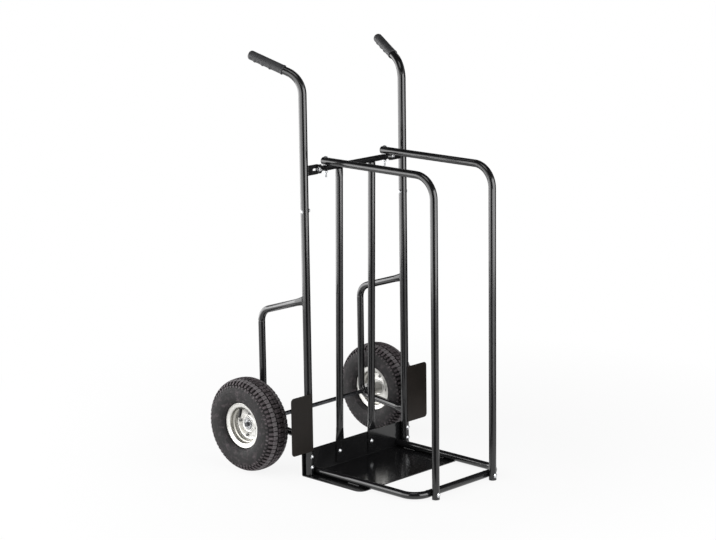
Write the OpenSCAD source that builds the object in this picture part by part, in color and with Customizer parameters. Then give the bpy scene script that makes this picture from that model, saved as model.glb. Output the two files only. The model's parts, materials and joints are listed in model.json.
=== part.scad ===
// Two-wheeled fireside log cart: a tubular sack-truck frame that carries a log rack.
// X runs across the cart, -Y is the front where the logs go in, and the floor is Z = 0.

/* [Uprights and handles] */
// Distance between the centres of the two uprights
upright_span = 382; // [330:1:460]
// Outside diameter of the upright and handle tubes
upright_d = 22; // [20:0.5:28]
// Wall of every frame tube
tube_wall = 1.5; // [1:0.1:2]
// Height of the seam where a handle enters its upright
seam_h = 758; // [660:1:790]
// Depth that the handle's swaged end goes into the upright
swage_len = 70; // [45:1:100]
// Distance from the seam down to the cross bolt that locks the handle
handle_bolt_drop = 23; // [15:1:35]
// Height at which the handle's axis turns to the rear
handle_corner_h = 1090; // [980:1:1260]
// Length of the handle tube from that corner to its end
handle_reach = 160; // [152:1:220]
// Radius of the handle's bend
handle_bend_r = 62; // [45:1:64]
// Rise of the handle above level
handle_rise = 21; // [10:0.5:40]
// Angle by which each handle spreads outward
handle_splay = 20.5; // [0:0.5:30]

/* [Grips] */
// Length of a grip along the handle
grip_len = 103; // [90:1:112]
// Wall of the grip sleeve
grip_wall = 1.9; // [1.6:0.1:4]
// Number of finger ridges under each grip
grip_ridges = 3; // [2:1:4]
// Height of a finger ridge
ridge_h = 1.8; // [0.8:0.1:2.5]

/* [Log rack] */
// Distance from the uprights to the front posts, centre to centre
rack_depth = 395; // [310:1:480]
// Height of the axis of the hoops' top runs
rack_h = 861; // [840:1:1000]
// Distance between the two hoops
hoop_span = 228; // [180:1:250]
// Outside diameter of the hoop tubes
hoop_d = 20; // [18:0.5:25]
// Radius of each hoop's front bend
hoop_bend_r = 60; // [40:1:90]
// Length of each hoop behind the crossbar
hoop_tail = 7.5; // [7.5:0.5:30]
// Distance between the two back rails
rail_span = 126; // [80:1:150]
// Outside diameter of the back rails
rail_d = 20; // [18:0.5:25]
// Outside diameter of the crossbar
bar_d = 16; // [14:0.5:20]
// Distance that the crossbar's axis lies in front of the uprights
bar_forward = 5; // [2:0.5:8]
// Distance from each hoop out to the tip of the lug that carries the crossbar
lug_gap = 8; // [6:0.5:14]

/* [Base and toe plate] */
// Outside diameter of the base loop's tube
base_d = 20; // [18:0.5:25]
// Radius of the base loop's front corners
base_corner_r = 45; // [32:1:70]
// Gap between the base loop and the uprights, seen from above
base_clear = 1; // [0.5:0.1:4]
// Distance from the uprights to the toe plate's front edge
toe_reach = 209; // [150:1:260]
// Distance that the toe plate stands out past each upright
toe_lip = 5; // [3:0.5:12]
// Thickness of the toe plate
toe_t = 2.5; // [2:0.5:4]
// Height of the flange behind the uprights
flange_h = 70; // [68:1:100]
// Radius of the toe plate's front corners
toe_corner_r = 22; // [10:1:40]

/* [Axle and its brackets] */
// Distance from the uprights back to the axle
axle_back = 166; // [160:1:210]
// Diameter of the axle
axle_d = 12; // [10:1:14]
// Outside diameter of the bracket tubes
bracket_d = 19; // [17:0.5:22]
// Distance that each bracket lies outboard of its upright's axis
bracket_out = 3; // [0:0.5:4]
// Height at which the upper arm's axis meets the upright's
arm_h = 492; // [420:1:600]
// Fall of the upper arm towards the rear
arm_fall = 17.5; // [5:0.5:30]
// Fall of the lower strut towards the front
strut_fall = 6; // [4:0.5:14]
// Radius of the upper bend
arm_bend_r = 40; // [32:1:60]
// Radius of the lower bend
strut_bend_r = 30; // [28:1:40]

/* [Wheels] */
// Diameter of the tyre
wheel_d = 260; // [250:1:320]
// Width of the tyre
tyre_w = 84; // [76:1:100]
// Distance from each upright's axis out to its wheel's centre plane
wheel_out = 67; // [66:0.5:100]
// Diameter of the rim where the tyre's beads sit
rim_d = 101.6; // [96:0.2:120]
// Width of the rim over its lips
rim_w = 52; // [48:1:60]
// Diameter over the rim's lips
lip_d = 127; // [120:1:140]
// Thickness of the pressed rim steel
rim_t = 1.8; // [1.5:0.1:2.5]
// Radius of the flat disc at the bottom of the rim's dish
disc_r = 41; // [38:1:43]
// Outside diameter of the hub tube
hub_d = 36; // [35:1:42]
// Length of the hub outboard of the wheel's centre plane
hub_out = 3; // [2:0.5:10]
// Length of the hub inboard of the wheel's centre plane
hub_in = 48; // [30:1:49]
// Radius of the circle of rim bolts
bolt_circle_r = 32; // [28:0.5:33]
// Length of the valve stem below the well of the rim
valve_len = 23; // [16:1:28]
// Angle by which the valve leans outboard
valve_lean = 33; // [0:1:35]
// Number of tread blocks in each row
tread_blocks = 60; // [24:1:72]
// Depth of the tread grooves
tread_d = 4.5; // [2:0.5:5]

/* [Wheel guards] */
// Width of a guard plate
guard_w = 80; // [60:1:100]
// Distance that a guard plate reaches past its upright's axis on the inner side
guard_in = 3; // [0:0.5:11]
// Height of a guard plate
guard_h = 162; // [120:1:200]
// Height of a guard's lower edge
guard_low = 72; // [60:1:100]
// Thickness of a guard plate
guard_t = 2; // [1.5:0.1:3]

/* [Fasteners] */
// Diameter of the frame bolts
bolt_d = 6; // [5:1:8]
// Diameter of the bolts that hold the crossbar to its lugs
lug_bolt_d = 6; // [5:1:8]
// Diameter of the bolts that hold the two rim halves together
rim_bolt_d = 4.5; // [4:0.5:8]

/* [Hidden] */
$fn = 48;

seat = 0.3;            // gap where metal is welded or clamped against its neighbour
collar = 0.5;          // a pressed tube end starts this much wider than the round tube
tuck = 0.1;            // and the round tube runs this far into it
hole_clear = 0.4;      // a bolt hole is this much wider than its bolt
over = 1;              // how far a cutting tool runs past the face that it cuts
wheel_r = wheel_d / 2;
upright_x = upright_span / 2;
upright_r = upright_d / 2;

// Rack levels, from the top run down to the floor
bar_z = rack_h - hoop_d / 2 - bar_d / 2 - seat;
bar_y = -bar_forward;
rail_top = bar_z - bar_d / 2 - seat;
base_z = toe_t + seat + base_d / 2;
foot_h = 6;
base_front = rack_depth - hoop_d / 2 - base_d / 2 - seat;
base_x = upright_x - upright_r - base_clear - base_d / 2;

// Crossbar ends: a round tube pressed flat is half its girth tall
flat_t = 2 * tube_wall + 0.2;
bar_flat_h = PI * bar_d / 2 - 1;
rail_flat_w = PI * rail_d / 2 - 2;
lug_t = 3;
lug_tall = bar_flat_h + 3;
lug_front = bar_y + flat_t / 2;
lug_root = upright_x - upright_r - seat;
lug_tip = hoop_span / 2 + hoop_d / 2 + lug_gap;
lug_bolt_x = lug_tip + 10;
bar_end = lug_bolt_x + 8.5;
slot_out = max(lug_bolt_x, lug_root - 22);

// Toe plate and its bolts
flange_y = upright_r + seat;
toe_half = upright_x + upright_r + toe_lip;
toe_bolt_low = 25;
toe_bolt_step = 30;
rail_bolt_z = 40;
toe_inner_r = 1.5;

// Fastener proportions, all taken from the bolt's diameter
function head_d(d) = 2.1 * d;
function head_h(d) = 0.55 * d;
function nut_across(d) = 1.67 * d;
function nut_h(d) = 0.8 * d;
thread_past = 3;       // a bolt stands this far out of its nut
hoop_thread = 14;      // the long bolts under the hoops stand out this far
rim_thread = 1.5;      // and the rim bolts no more than this

// Axle line
bracket_x = upright_x + bracket_out;
axle_fit = 0.05;
axle_bore = axle_d + 0.2;
wheel_x = upright_x + wheel_out;
hub_face_in = wheel_x - hub_in;
hub_face_out = wheel_x + hub_out;
washer_t = 1.6;
axle_past = 6.5;
axle_end = hub_face_out + seat + washer_t + axle_past;
pin_d = 2.6;
pin_x = hub_face_out + seat + washer_t + pin_d / 2 + 0.5;

// The axle goes through the middle of each bracket's lower bend
arm_turn = 90 - arm_fall;
strut_turn = 90 - strut_fall;
run_y = axle_back + strut_bend_r * (1 - cos(strut_turn / 2));
run_low = wheel_r + strut_bend_r * sin(strut_turn / 2);
arm_corner_z = arm_h - run_y * tan(arm_fall);
arm_tangent = arm_bend_r * tan(arm_turn / 2);
strut_tangent = strut_bend_r * tan(strut_turn / 2);
run_len = arm_corner_z - arm_tangent - run_low;
// Both ends are pressed tall and thin over this length, then coped to the upright
press_len = 30;
press_tall = 24;
press_thin = 12;
cope = 4;
arm_steps = [
    [(run_y - cope) / cos(arm_fall) - arm_tangent - press_len, arm_bend_r, arm_turn],
    [run_len, strut_bend_r, strut_turn],
    [(run_y - cope) / cos(strut_fall) - strut_tangent - press_len, 0, 0]
];

// Wheel pieces
bearing_d = 32;
bearing_w = 10;
tyre_fit = 0.3;
bead_w = 9;
tyre_wall = 6;
rim_bolts = 4;
rim_bolt_turn = 10;
valve_turn = 27;
valve_d = 9;
valve_z = 9;
well_r = disc_r + 4;

// The cart is built with its uprights on Y = 0, then moved so that its box is centred
front_reach = rack_depth + hoop_d / 2 + head_h(bolt_d);
rear_reach = axle_back + wheel_r;
stand_y = (front_reach - rear_reach) / 2;

module in_frame() {
    translate([0, stand_y, 0]) children();
}

// Everything on one side is drawn on the left and mirrored for the right
module side(right) {
    in_frame() mirror([right ? 1 : 0, 0, 0]) children();
}

module both_sides() {
    side(false) children();
    side(true) children();
}

module ring(outer_d, inner_d, h) {
    difference() {
        cylinder(d = outer_d, h = h);
        translate([0, 0, -over]) cylinder(d = inner_d, h = h + 2 * over);
    }
}

// A rod that starts at the origin along +Z and turns towards +X at each bend.
// Each step is [straight length, bend radius, bend angle]. Bends are a hair thinner than
// the straights, which run a little way into them, so that every joint is a clean step.
lap = 0.3;
hair = 0.02;

module run(steps, d, i = 0) {
    if (i < len(steps)) {
        step = steps[i];
        before = i > 0 ? lap : 0;
        after = step[2] > 0 ? lap : 0;
        translate([0, 0, -before]) cylinder(d = d, h = step[0] + before + after);
        if (step[2] > 0) translate([0, 0, step[0]]) {
            translate([step[1], 0, 0]) rotate([90, 0, 180]) rotate_extrude(angle = step[2])
                translate([step[1], 0]) circle(d = d - hair);
            translate([step[1], 0, 0]) rotate([0, step[2], 0])
                translate([-step[1], 0, 0]) run(steps, d, i + 1);
        }
    }
}

// The same steps, lengthened past both ends so that they cut a bore
function longer(steps, extra) = [
    for (i = [0 : len(steps) - 1])
        [steps[i][0] + (i == 0 ? extra : 0) + (i == len(steps) - 1 ? extra : 0),
         steps[i][1], steps[i][2]]
];

module tube_run(steps, d, wall) {
    difference() {
        run(steps, d);
        translate([0, 0, -over]) run(longer(steps, over), d - 2 * wall);
    }
}

// Moves to the end of a run, looking along it
module at_end(steps, i = 0) {
    if (i == len(steps)) {
        children();
    } else {
        translate([0, 0, steps[i][0]])
            translate([steps[i][1], 0, 0]) rotate([0, steps[i][2], 0])
                translate([-steps[i][1], 0, 0]) at_end(steps, i + 1) children();
    }
}

// A tube end pressed from round to oval: tall along X, in the plane of the bends, and thin along Y
module squashed(d, tall, thin, length) {
    hull() {
        cylinder(d = d + collar, h = 0.01, $fn = 32);
        translate([0, 0, length - 0.01]) scale([1, thin / tall, 1])
            cylinder(d = tall, h = 0.01, $fn = 32);
    }
}

// A tube end pressed flat, as a slice w wide and flat_t thick that is moved by [x, y]
module flattened(d, w, length, x = 0, y = 0) {
    hull() {
        cylinder(d = d + collar, h = 0.01, $fn = 32);
        translate([x, y, length - 0.005]) cube([w, flat_t, 0.01], center = true);
    }
}

// A domed head under which the bolt points along -Z from the origin
module dome(d) {
    r = head_d(d) / 2;
    h = head_h(d);
    ball = (r * r + h * h) / (2 * h);
    intersection() {
        translate([0, 0, h - ball]) sphere(r = ball);
        cylinder(r = r, h = h);
    }
}

module carriage_bolt(d, length) {
    union() {
        dome(d);
        translate([0, 0, -length]) cylinder(d = d, h = length + 0.2);
    }
}

module hex_nut(d) {
    difference() {
        cylinder(d = nut_across(d) / cos(30), h = nut_h(d), $fn = 6);
        translate([0, 0, -over]) cylinder(d = d + 0.2, h = nut_h(d) + 2 * over);
    }
}

// ---- Uprights and handles ----

module upright() {
    foot = toe_t + toe_inner_r + seat;
    color("#161616") translate([-upright_x, 0, foot]) difference() {
        ring(upright_d, upright_d - 2 * tube_wall, seam_h - foot);
        translate([0, 0, seam_h - handle_bolt_drop - foot]) rotate([0, 90, 0])
            cylinder(d = bolt_d + hole_clear, h = 2 * upright_d, center = true);
        for (i = [0, 1])
            translate([0, 0, toe_bolt_low + i * toe_bolt_step - foot]) rotate([90, 0, 0])
                cylinder(d = bolt_d + hole_clear, h = 2 * upright_d, center = true);
    }
}

handle_turn = 90 - handle_rise;
handle_tangent = handle_bend_r * tan(handle_turn / 2);
handle_steps = [
    [handle_corner_h - handle_tangent - seam_h, handle_bend_r, handle_turn],
    [handle_reach - handle_tangent, 0, 0]
];
swage_d = upright_d - 2 * tube_wall - 0.3;

module handle_path() {
    translate([-upright_x, 0, seam_h]) rotate([0, 0, 90 + handle_splay]) children();
}

// The tube's lower end is swaged down to slide into the upright, below a square shoulder
module handle() {
    shoulder = 2.5;
    bore_steps = [
        [handle_steps[0][0] - shoulder, handle_bend_r, handle_turn],
        [handle_steps[1][0] + over, 0, 0]
    ];
    color("#161616") difference() {
        union() {
            handle_path() run(handle_steps, upright_d);
            translate([-upright_x, 0, seam_h - swage_len])
                cylinder(d = swage_d, h = swage_len + shoulder / 2);
        }
        handle_path() translate([0, 0, shoulder]) run(bore_steps, upright_d - 2 * tube_wall);
        translate([-upright_x, 0, seam_h - swage_len - over])
            cylinder(d = swage_d - 2 * tube_wall, h = swage_len + shoulder + 2 * over);
        translate([-upright_x, 0, seam_h - handle_bolt_drop]) rotate([0, 90, 0])
            cylinder(d = bolt_d + hole_clear, h = 2 * upright_d, center = true);
    }
}

grip_bore = upright_d + 0.2;
grip_d = grip_bore + 2 * grip_wall;
grip_cap = 5;
grip_nose_r = 8;

// The sleeve's outer shape: a small collar, a plain barrel and a rounded closed end
module grip_outline() {
    difference() {
        union() {
            square([grip_d / 2, grip_len + grip_cap - grip_nose_r]);
            square([grip_d / 2 + 1.2, 4]);
            translate([0, grip_len + grip_cap - grip_nose_r])
                square([grip_d / 2 - grip_nose_r, grip_nose_r]);
            intersection() {
                translate([grip_d / 2 - grip_nose_r, grip_len + grip_cap - grip_nose_r])
                    circle(r = grip_nose_r);
                square([grip_d / 2, grip_len + grip_cap]);
            }
        }
        translate([-over, -over]) square([grip_bore / 2 + over, grip_len + over]);
    }
}

// A ridge is a ring moved towards the underside until only its lower half stands out
module grip_ridge() {
    bead_r = 3.5;
    buried = 0.1;
    drop = (ridge_h + buried) / 2;
    translate([-drop, 0, 0]) rotate_extrude()
        translate([(grip_d + ridge_h - buried) / 2 - bead_r, 0]) circle(r = bead_r);
}

module grip() {
    pitch = (grip_len - 9) / (grip_ridges + 1);
    color("#2b2b2d") handle_path() at_end(handle_steps) translate([0, 0, -grip_len])
        difference() {
            union() {
                rotate_extrude() grip_outline();
                for (i = [1 : grip_ridges])
                    translate([0, 0, 9 + i * pitch]) rotate([0, 0, 180]) grip_ridge();
            }
            translate([0, 0, -over]) cylinder(d = grip_bore, h = grip_len + over);
        }
}

module handle_bolts() {
    color("#c9ccd0") both_sides()
        translate([-upright_x - upright_r, 0, seam_h - handle_bolt_drop]) rotate([0, -90, 0])
            carriage_bolt(bolt_d, upright_d + nut_h(bolt_d) + thread_past);
}

module handle_nuts() {
    color("#c9ccd0") both_sides()
        translate([-upright_x + upright_r, 0, seam_h - handle_bolt_drop]) rotate([0, 90, 0])
            hex_nut(bolt_d);
}

// ---- Crossbar, its lugs and the back rails ----

// A slotted plate welded to the inner side of the handle tube
module lug() {
    color("#161616") difference() {
        translate([0, lug_front + lug_t, 0]) rotate([90, 0, 0]) linear_extrude(lug_t) difference() {
            union() {
                translate([-lug_root, bar_z - lug_tall / 2])
                    square([lug_root - lug_tip - lug_tall / 2, lug_tall]);
                translate([-lug_tip - lug_tall / 2, bar_z]) circle(d = lug_tall);
            }
            translate([-slot_out, bar_z - (lug_bolt_d + hole_clear) / 2])
                square([slot_out - lug_bolt_x + 0.01, lug_bolt_d + hole_clear]);
            for (x = [lug_bolt_x, slot_out])
                translate([-x, bar_z]) circle(d = lug_bolt_d + hole_clear);
        }
    }
}

// A round tube whose ends are pressed flat against the lugs, just outside the hoops
module crossbar() {
    round_half = hoop_span / 2 + nut_across(bolt_d) / cos(30) / 2 + seat;
    press = lug_tip - round_half;
    lobe = bar_flat_h / 2;
    color("#161616") in_frame() difference() {
        union() {
            translate([-round_half - tuck, bar_y, bar_z]) rotate([0, 90, 0])
                cylinder(d = bar_d, h = 2 * (round_half + tuck));
            for (s = [-1, 1]) {
                translate([s * round_half, bar_y, bar_z]) rotate([0, s * 90, 0]) rotate([0, 0, 90])
                    flattened(bar_d, bar_flat_h, press);
                translate([s * (lug_tip + bar_end - lobe) / 2, bar_y, bar_z])
                    cube([bar_end - lobe - lug_tip + 0.02, flat_t, bar_flat_h], center = true);
                translate([s * (bar_end - lobe), bar_y, bar_z]) rotate([90, 0, 0])
                    cylinder(d = bar_flat_h, h = flat_t, center = true);
            }
        }
        translate([-round_half, bar_y, bar_z]) rotate([0, 90, 0])
            cylinder(d = bar_d - 2 * tube_wall, h = 2 * round_half);
        for (s = [-1, 1]) {
            translate([s * lug_bolt_x, bar_y, bar_z]) rotate([90, 0, 0])
                cylinder(d = lug_bolt_d + hole_clear, h = 4 * flat_t, center = true);
            translate([s * hoop_span / 2, bar_y, bar_z])
                cylinder(d = bolt_d + hole_clear, h = 2 * bar_d, center = true);
        }
    }
}

module crossbar_bolts() {
    grip_through = lug_t + flat_t + washer_t + nut_h(lug_bolt_d) + thread_past;
    color("#c9ccd0") both_sides()
        translate([-lug_bolt_x, lug_front + lug_t, bar_z]) rotate([-90, 0, 0])
            carriage_bolt(lug_bolt_d, grip_through);
}

module crossbar_washers() {
    color("#c9ccd0") both_sides()
        translate([-lug_bolt_x, bar_y - flat_t / 2, bar_z]) rotate([90, 0, 0])
            ring(lug_bolt_d * 2.1, lug_bolt_d + hole_clear, washer_t);
}

module crossbar_nuts() {
    color("#c9ccd0") both_sides()
        translate([-lug_bolt_x, bar_y - flat_t / 2 - washer_t, bar_z]) rotate([90, 0, 0])
            hex_nut(lug_bolt_d);
}

// The rails lean: flat against the flange at the foot, they reach forward under the crossbar
rail_flat_y = flange_y - flat_t / 2;
rail_flat_top = flange_h + 3;
rail_lean = atan((rail_flat_y - bar_y) / (rail_top - rail_flat_top));

// Moves to a height on the rail's axis, looking up along it
module on_rail(z) {
    translate([0, rail_flat_y - (z - rail_flat_top) * tan(rail_lean), z])
        rotate([rail_lean, 0, 0]) children();
}

// The rail's solid form, or with shrink its bore: pressed flat below, oval at the top
module rail_form(shrink, extra) {
    top_len = 22;
    foot_len = 34;
    round_low = rail_flat_top + foot_len;
    round_top = rail_top - top_len;
    d = rail_d - shrink;
    oval = [rail_d * 1.2 - shrink, bar_d * 0.95 - shrink];
    on_rail(round_low) translate([0, 0, -tuck])
        cylinder(d = d, h = (round_top - round_low) / cos(rail_lean) + 2 * tuck);
    hull() {
        on_rail(round_top) cylinder(d = d + collar, h = 0.01, $fn = 32);
        translate([0, bar_y, rail_top + extra - 0.01]) scale([1, oval[1] / oval[0], 1])
            cylinder(d = oval[0], h = 0.01, $fn = 32);
    }
    if (shrink == 0) hull() {
        on_rail(round_low) cylinder(d = d + collar, h = 0.01, $fn = 32);
        translate([0, rail_flat_y, rail_flat_top + 0.005])
            cube([rail_flat_w, flat_t, 0.01], center = true);
    }
}

module back_rail() {
    flat_low = toe_t + 8;
    color("#161616") translate([-rail_span / 2, 0, 0]) difference() {
        union() {
            rail_form(0, 0);
            translate([-rail_flat_w / 2, rail_flat_y - flat_t / 2, flat_low])
                cube([rail_flat_w, flat_t, rail_flat_top - flat_low + 0.005]);
        }
        rail_form(2 * tube_wall, over);
        translate([0, rail_flat_y, rail_bolt_z]) rotate([90, 0, 0])
            cylinder(d = bolt_d + hole_clear, h = 4 * flat_t, center = true);
    }
}

module rail_bolts() {
    color("#c9ccd0") both_sides()
        translate([-rail_span / 2, flange_y - flat_t, rail_bolt_z]) rotate([90, 0, 0])
            carriage_bolt(bolt_d, flat_t + toe_t + nut_h(bolt_d) + thread_past);
}

module rail_nuts() {
    color("#c9ccd0") both_sides()
        translate([-rail_span / 2, flange_y + toe_t, rail_bolt_z]) rotate([-90, 0, 0])
            hex_nut(bolt_d);
}

// ---- Hoops ----

hoop_steps = [
    [rack_h - hoop_bend_r - foot_h, hoop_bend_r, 90],
    [rack_depth - hoop_bend_r + bar_y + hoop_tail, 0, 0]
];

// From the front foot up, round the bend and back over the crossbar
module hoop() {
    color("#161616") difference() {
        translate([-hoop_span / 2, -rack_depth, foot_h]) rotate([0, 0, 90])
            tube_run(hoop_steps, hoop_d, tube_wall);
        translate([-hoop_span / 2, bar_y, rack_h])
            cylinder(d = bolt_d + hole_clear, h = 2 * hoop_d, center = true);
        translate([-hoop_span / 2, -rack_depth, base_z]) rotate([90, 0, 0])
            cylinder(d = bolt_d + hole_clear, h = 2 * hoop_d, center = true);
    }
}

module hoop_bolts() {
    color("#c9ccd0") both_sides()
        translate([-hoop_span / 2, bar_y, rack_h + hoop_d / 2])
            carriage_bolt(bolt_d, hoop_d + bar_d + nut_h(bolt_d) + hoop_thread);
}

module hoop_nuts() {
    color("#c9ccd0") both_sides()
        translate([-hoop_span / 2, bar_y, bar_z - bar_d / 2 - nut_h(bolt_d)])
            hex_nut(bolt_d);
}

plug_fit = 0.2;
end_cap_t = 1.5;

// A plug with a thin rim, pushed into the end of a hoop tube
module plug(rim_h, depth) {
    union() {
        cylinder(d = hoop_d + 0.6, h = rim_h);
        translate([0, 0, rim_h]) ring(hoop_d - 2 * tube_wall - plug_fit, hoop_d - 9, depth);
    }
}

module hoop_end_plugs() {
    color("#111111") both_sides()
        translate([-hoop_span / 2, bar_y + hoop_tail + end_cap_t, rack_h]) rotate([90, 0, 0])
            plug(end_cap_t, 3.5);
}

module foot() {
    color("#111111") translate([-hoop_span / 2, -rack_depth, 0]) difference() {
        plug(foot_h, 18);
        translate([0, 0, base_z]) rotate([90, 0, 0])
            cylinder(d = bolt_d + hole_clear, h = 2 * hoop_d, center = true);
    }
}

// ---- Base loop and toe plate ----

base_back = flange_y - toe_inner_r - seat;
base_steps = [
    [base_front - base_corner_r + base_back, base_corner_r, 90],
    [2 * (base_x - base_corner_r), base_corner_r, 90],
    [base_front - base_corner_r + base_back, 0, 0]
];

// A flat U of tube: its open ends stop just short of the toe plate's flange
module base_loop() {
    color("#161616") in_frame() difference() {
        translate([-base_x, base_back, base_z]) rotate([90, 0, 0])
            tube_run(base_steps, base_d, tube_wall);
        for (s = [-1, 1])
            translate([s * hoop_span / 2, -base_front, base_z]) rotate([90, 0, 0])
                cylinder(d = bolt_d + hole_clear, h = 2 * base_d, center = true);
    }
}

module front_bolts() {
    color("#c9ccd0") both_sides()
        translate([-hoop_span / 2, -rack_depth - hoop_d / 2, base_z]) rotate([90, 0, 0])
            carriage_bolt(bolt_d, hoop_d + seat + base_d + nut_h(bolt_d) + thread_past);
}

module front_nuts() {
    color("#c9ccd0") both_sides()
        translate([-hoop_span / 2, -base_front + base_d / 2, base_z]) rotate([-90, 0, 0])
            hex_nut(bolt_d);
}

// The bent plate seen from its end: a sole, a bend and the flange behind the uprights
module toe_profile() {
    back = flange_y + toe_t;
    r = toe_inner_r + toe_t;
    difference() {
        union() {
            translate([-toe_reach, 0]) square([toe_reach + back - r, toe_t]);
            translate([flange_y, r]) square([toe_t, flange_h - r]);
            intersection() {
                translate([back - r, r]) circle(r = r);
                translate([back - r, 0]) square([r, r]);
            }
        }
        translate([back - r, r]) circle(r = toe_inner_r);
    }
}

module corner_cut(r, h) {
    difference() {
        translate([-over, -over, 0]) cube([r + over, r + over, h]);
        translate([r, r, -over]) cylinder(r = r, h = h + 2 * over);
    }
}

module toe_plate() {
    flange_corner_r = 10;
    color("#161616") in_frame() difference() {
        translate([-toe_half, 0, 0]) rotate([90, 0, 90]) linear_extrude(2 * toe_half) toe_profile();
        for (s = [0, 1]) mirror([s, 0, 0]) {
            translate([-toe_half, -toe_reach, -over]) corner_cut(toe_corner_r, toe_t + 2 * over);
            translate([-toe_half, flange_y - over, flange_h]) rotate([-90, 0, 0])
                corner_cut(flange_corner_r, toe_t + 2 * over);
            for (i = [0, 1])
                translate([-upright_x, flange_y, toe_bolt_low + i * toe_bolt_step])
                    rotate([90, 0, 0])
                        cylinder(d = bolt_d + hole_clear, h = 4 * toe_t, center = true);
            translate([-rail_span / 2, flange_y, rail_bolt_z]) rotate([90, 0, 0])
                cylinder(d = bolt_d + hole_clear, h = 4 * toe_t, center = true);
        }
    }
}

module toe_bolts() {
    color("#c9ccd0") both_sides() for (i = [0, 1])
        translate([-upright_x, -upright_r, toe_bolt_low + i * toe_bolt_step]) rotate([90, 0, 0])
            carriage_bolt(bolt_d, upright_d + seat + toe_t + nut_h(bolt_d) + thread_past);
}

module toe_nuts() {
    color("#c9ccd0") both_sides() for (i = [0, 1])
        translate([-upright_x, flange_y + toe_t, toe_bolt_low + i * toe_bolt_step])
            rotate([-90, 0, 0]) hex_nut(bolt_d);
}

// ---- Axle brackets and guards ----

// Arm, run and strut in one bent tube whose two ends are pressed oval
module bracket_rod(shrink, extra) {
    run(arm_steps, bracket_d - shrink);
    for (end = [0, 1]) {
        if (end == 0) mirror([0, 0, 1]) pressed_end(shrink, extra);
        else at_end(arm_steps) pressed_end(shrink, extra);
    }
}

module pressed_end(shrink, extra) {
    translate([0, 0, -tuck])
        squashed(bracket_d - shrink, press_tall - shrink, press_thin - shrink,
                 press_len + tuck + extra);
}

module axle_bracket() {
    color("#161616") difference() {
        translate([-bracket_x, cope, arm_h - cope * tan(arm_fall)])
            rotate([0, 0, 90]) rotate([0, 90 + arm_fall, 0])
                translate([0, 0, press_len]) difference() {
                    bracket_rod(0, 0);
                    bracket_rod(2 * tube_wall, over);
                }
        translate([-upright_x, 0, 0]) cylinder(r = upright_r + seat, h = arm_h + upright_d * 2);
        translate([-bracket_x, axle_back, wheel_r]) rotate([0, 90, 0])
            cylinder(d = axle_bore, h = 2 * bracket_d, center = true);
    }
}

// A plate on the front of the upright that keeps the logs off the tyre
module wheel_guard() {
    corner = 10;
    color("#161616") translate([guard_in - upright_x - guard_w, -upright_r - seat, guard_low])
        rotate([90, 0, 0]) linear_extrude(guard_t) union() {
            translate([corner, 0]) square([guard_w - corner, guard_h]);
            translate([0, corner]) square([corner, guard_h - 2 * corner]);
            for (z = [corner, guard_h - corner]) translate([corner, z]) circle(r = corner);
        }
}

module axle() {
    color("#4a4e57") in_frame() translate([0, axle_back, wheel_r]) rotate([0, 90, 0]) difference() {
        cylinder(d = axle_d, h = 2 * axle_end, center = true);
        for (s = [-1, 1])
            translate([0, 0, s * pin_x]) rotate([0, 90, 0])
                cylinder(d = pin_d + 0.2, h = 2 * axle_d, center = true);
    }
}

module axle_spacers() {
    start = bracket_x + bracket_d / 2 + seat;
    color("#8f9398") both_sides()
        translate([-start, axle_back, wheel_r]) rotate([0, -90, 0])
            ring(axle_d + 6, axle_bore, hub_face_in - seat - start);
}

module axle_washers() {
    color("#c9ccd0") both_sides()
        translate([-hub_face_out - seat, axle_back, wheel_r]) rotate([0, -90, 0])
            ring(2 * axle_d, axle_bore, washer_t);
}

// A split pin: an eye above the axle, a leg through it and two short tails bent apart
module cotter_pins() {
    eye_r = 4;
    wire = 1.4;
    leg = axle_d + 4;
    color("#c9ccd0") both_sides()
        translate([-pin_x, axle_back, wheel_r]) union() {
            translate([0, 0, -leg / 2]) cylinder(d = pin_d, h = leg);
            translate([0, 0, leg / 2 + eye_r - wire / 2]) rotate([0, 90, 0])
                rotate_extrude() translate([eye_r, 0]) circle(d = 2 * wire);
            for (s = [-1, 1])
                translate([0, 0, -leg / 2]) rotate([s * 65, 0, 0])
                    translate([0, 0, -0.5]) cylinder(d = wire, h = 9);
        }
}

// ---- Wheels ----

// Puts a wheel piece, drawn round +Z with +Z pointing outboard, on the left axle end
module on_wheel() {
    translate([-wheel_x, axle_back, wheel_r]) rotate([0, -90, 0]) children();
}

// Points along a curve that is moved sideways by d, for walls of even thickness
function unit(v) = v / norm(v);
function shifted(path, d) = [
    for (i = [0 : len(path) - 1])
        let (a = unit(path[max(i, 1)] - path[max(i, 1) - 1]),
             b = unit(path[min(i, len(path) - 2) + 1] - path[min(i, len(path) - 2)]),
             m = unit(a + b))
        path[i] + d / max(m * a, 0.5) * [-m[1], m[0]]
];
function reversed(points) = [for (i = [len(points) - 1 : -1 : 0]) points[i]];

// The side of the pressed rim that faces the tyre: disc with a raised ring round the hub,
// well, bead seat and rolled lip
lip_z = rim_w / 2 - rim_t;
emboss = 1.2;
rim_path = [
    [hub_d / 2 + seat, 0], [hub_d / 2 + 2, 0], [hub_d / 2 + 3.2, emboss],
    [hub_d / 2 + 5, emboss], [hub_d / 2 + 6.2, 0],
    [disc_r - 1, 0], [disc_r + 1.4, 0.9], [disc_r + 2.6, 3.2],
    [well_r, 9], [well_r + 1.2, 11], [rim_d / 2 - 1.6, 12.6], [rim_d / 2, 14.4],
    [rim_d / 2, lip_z - 5], [rim_d / 2 + 1, lip_z - 2.6], [rim_d / 2 + 3.4, lip_z - 1],
    [lip_d / 2 - 3.4, lip_z - 0.6], [lip_d / 2 - 1.6, lip_z], [lip_d / 2 - 0.4, lip_z + 1.2],
    [lip_d / 2, lip_z + 2.6]
];

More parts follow.
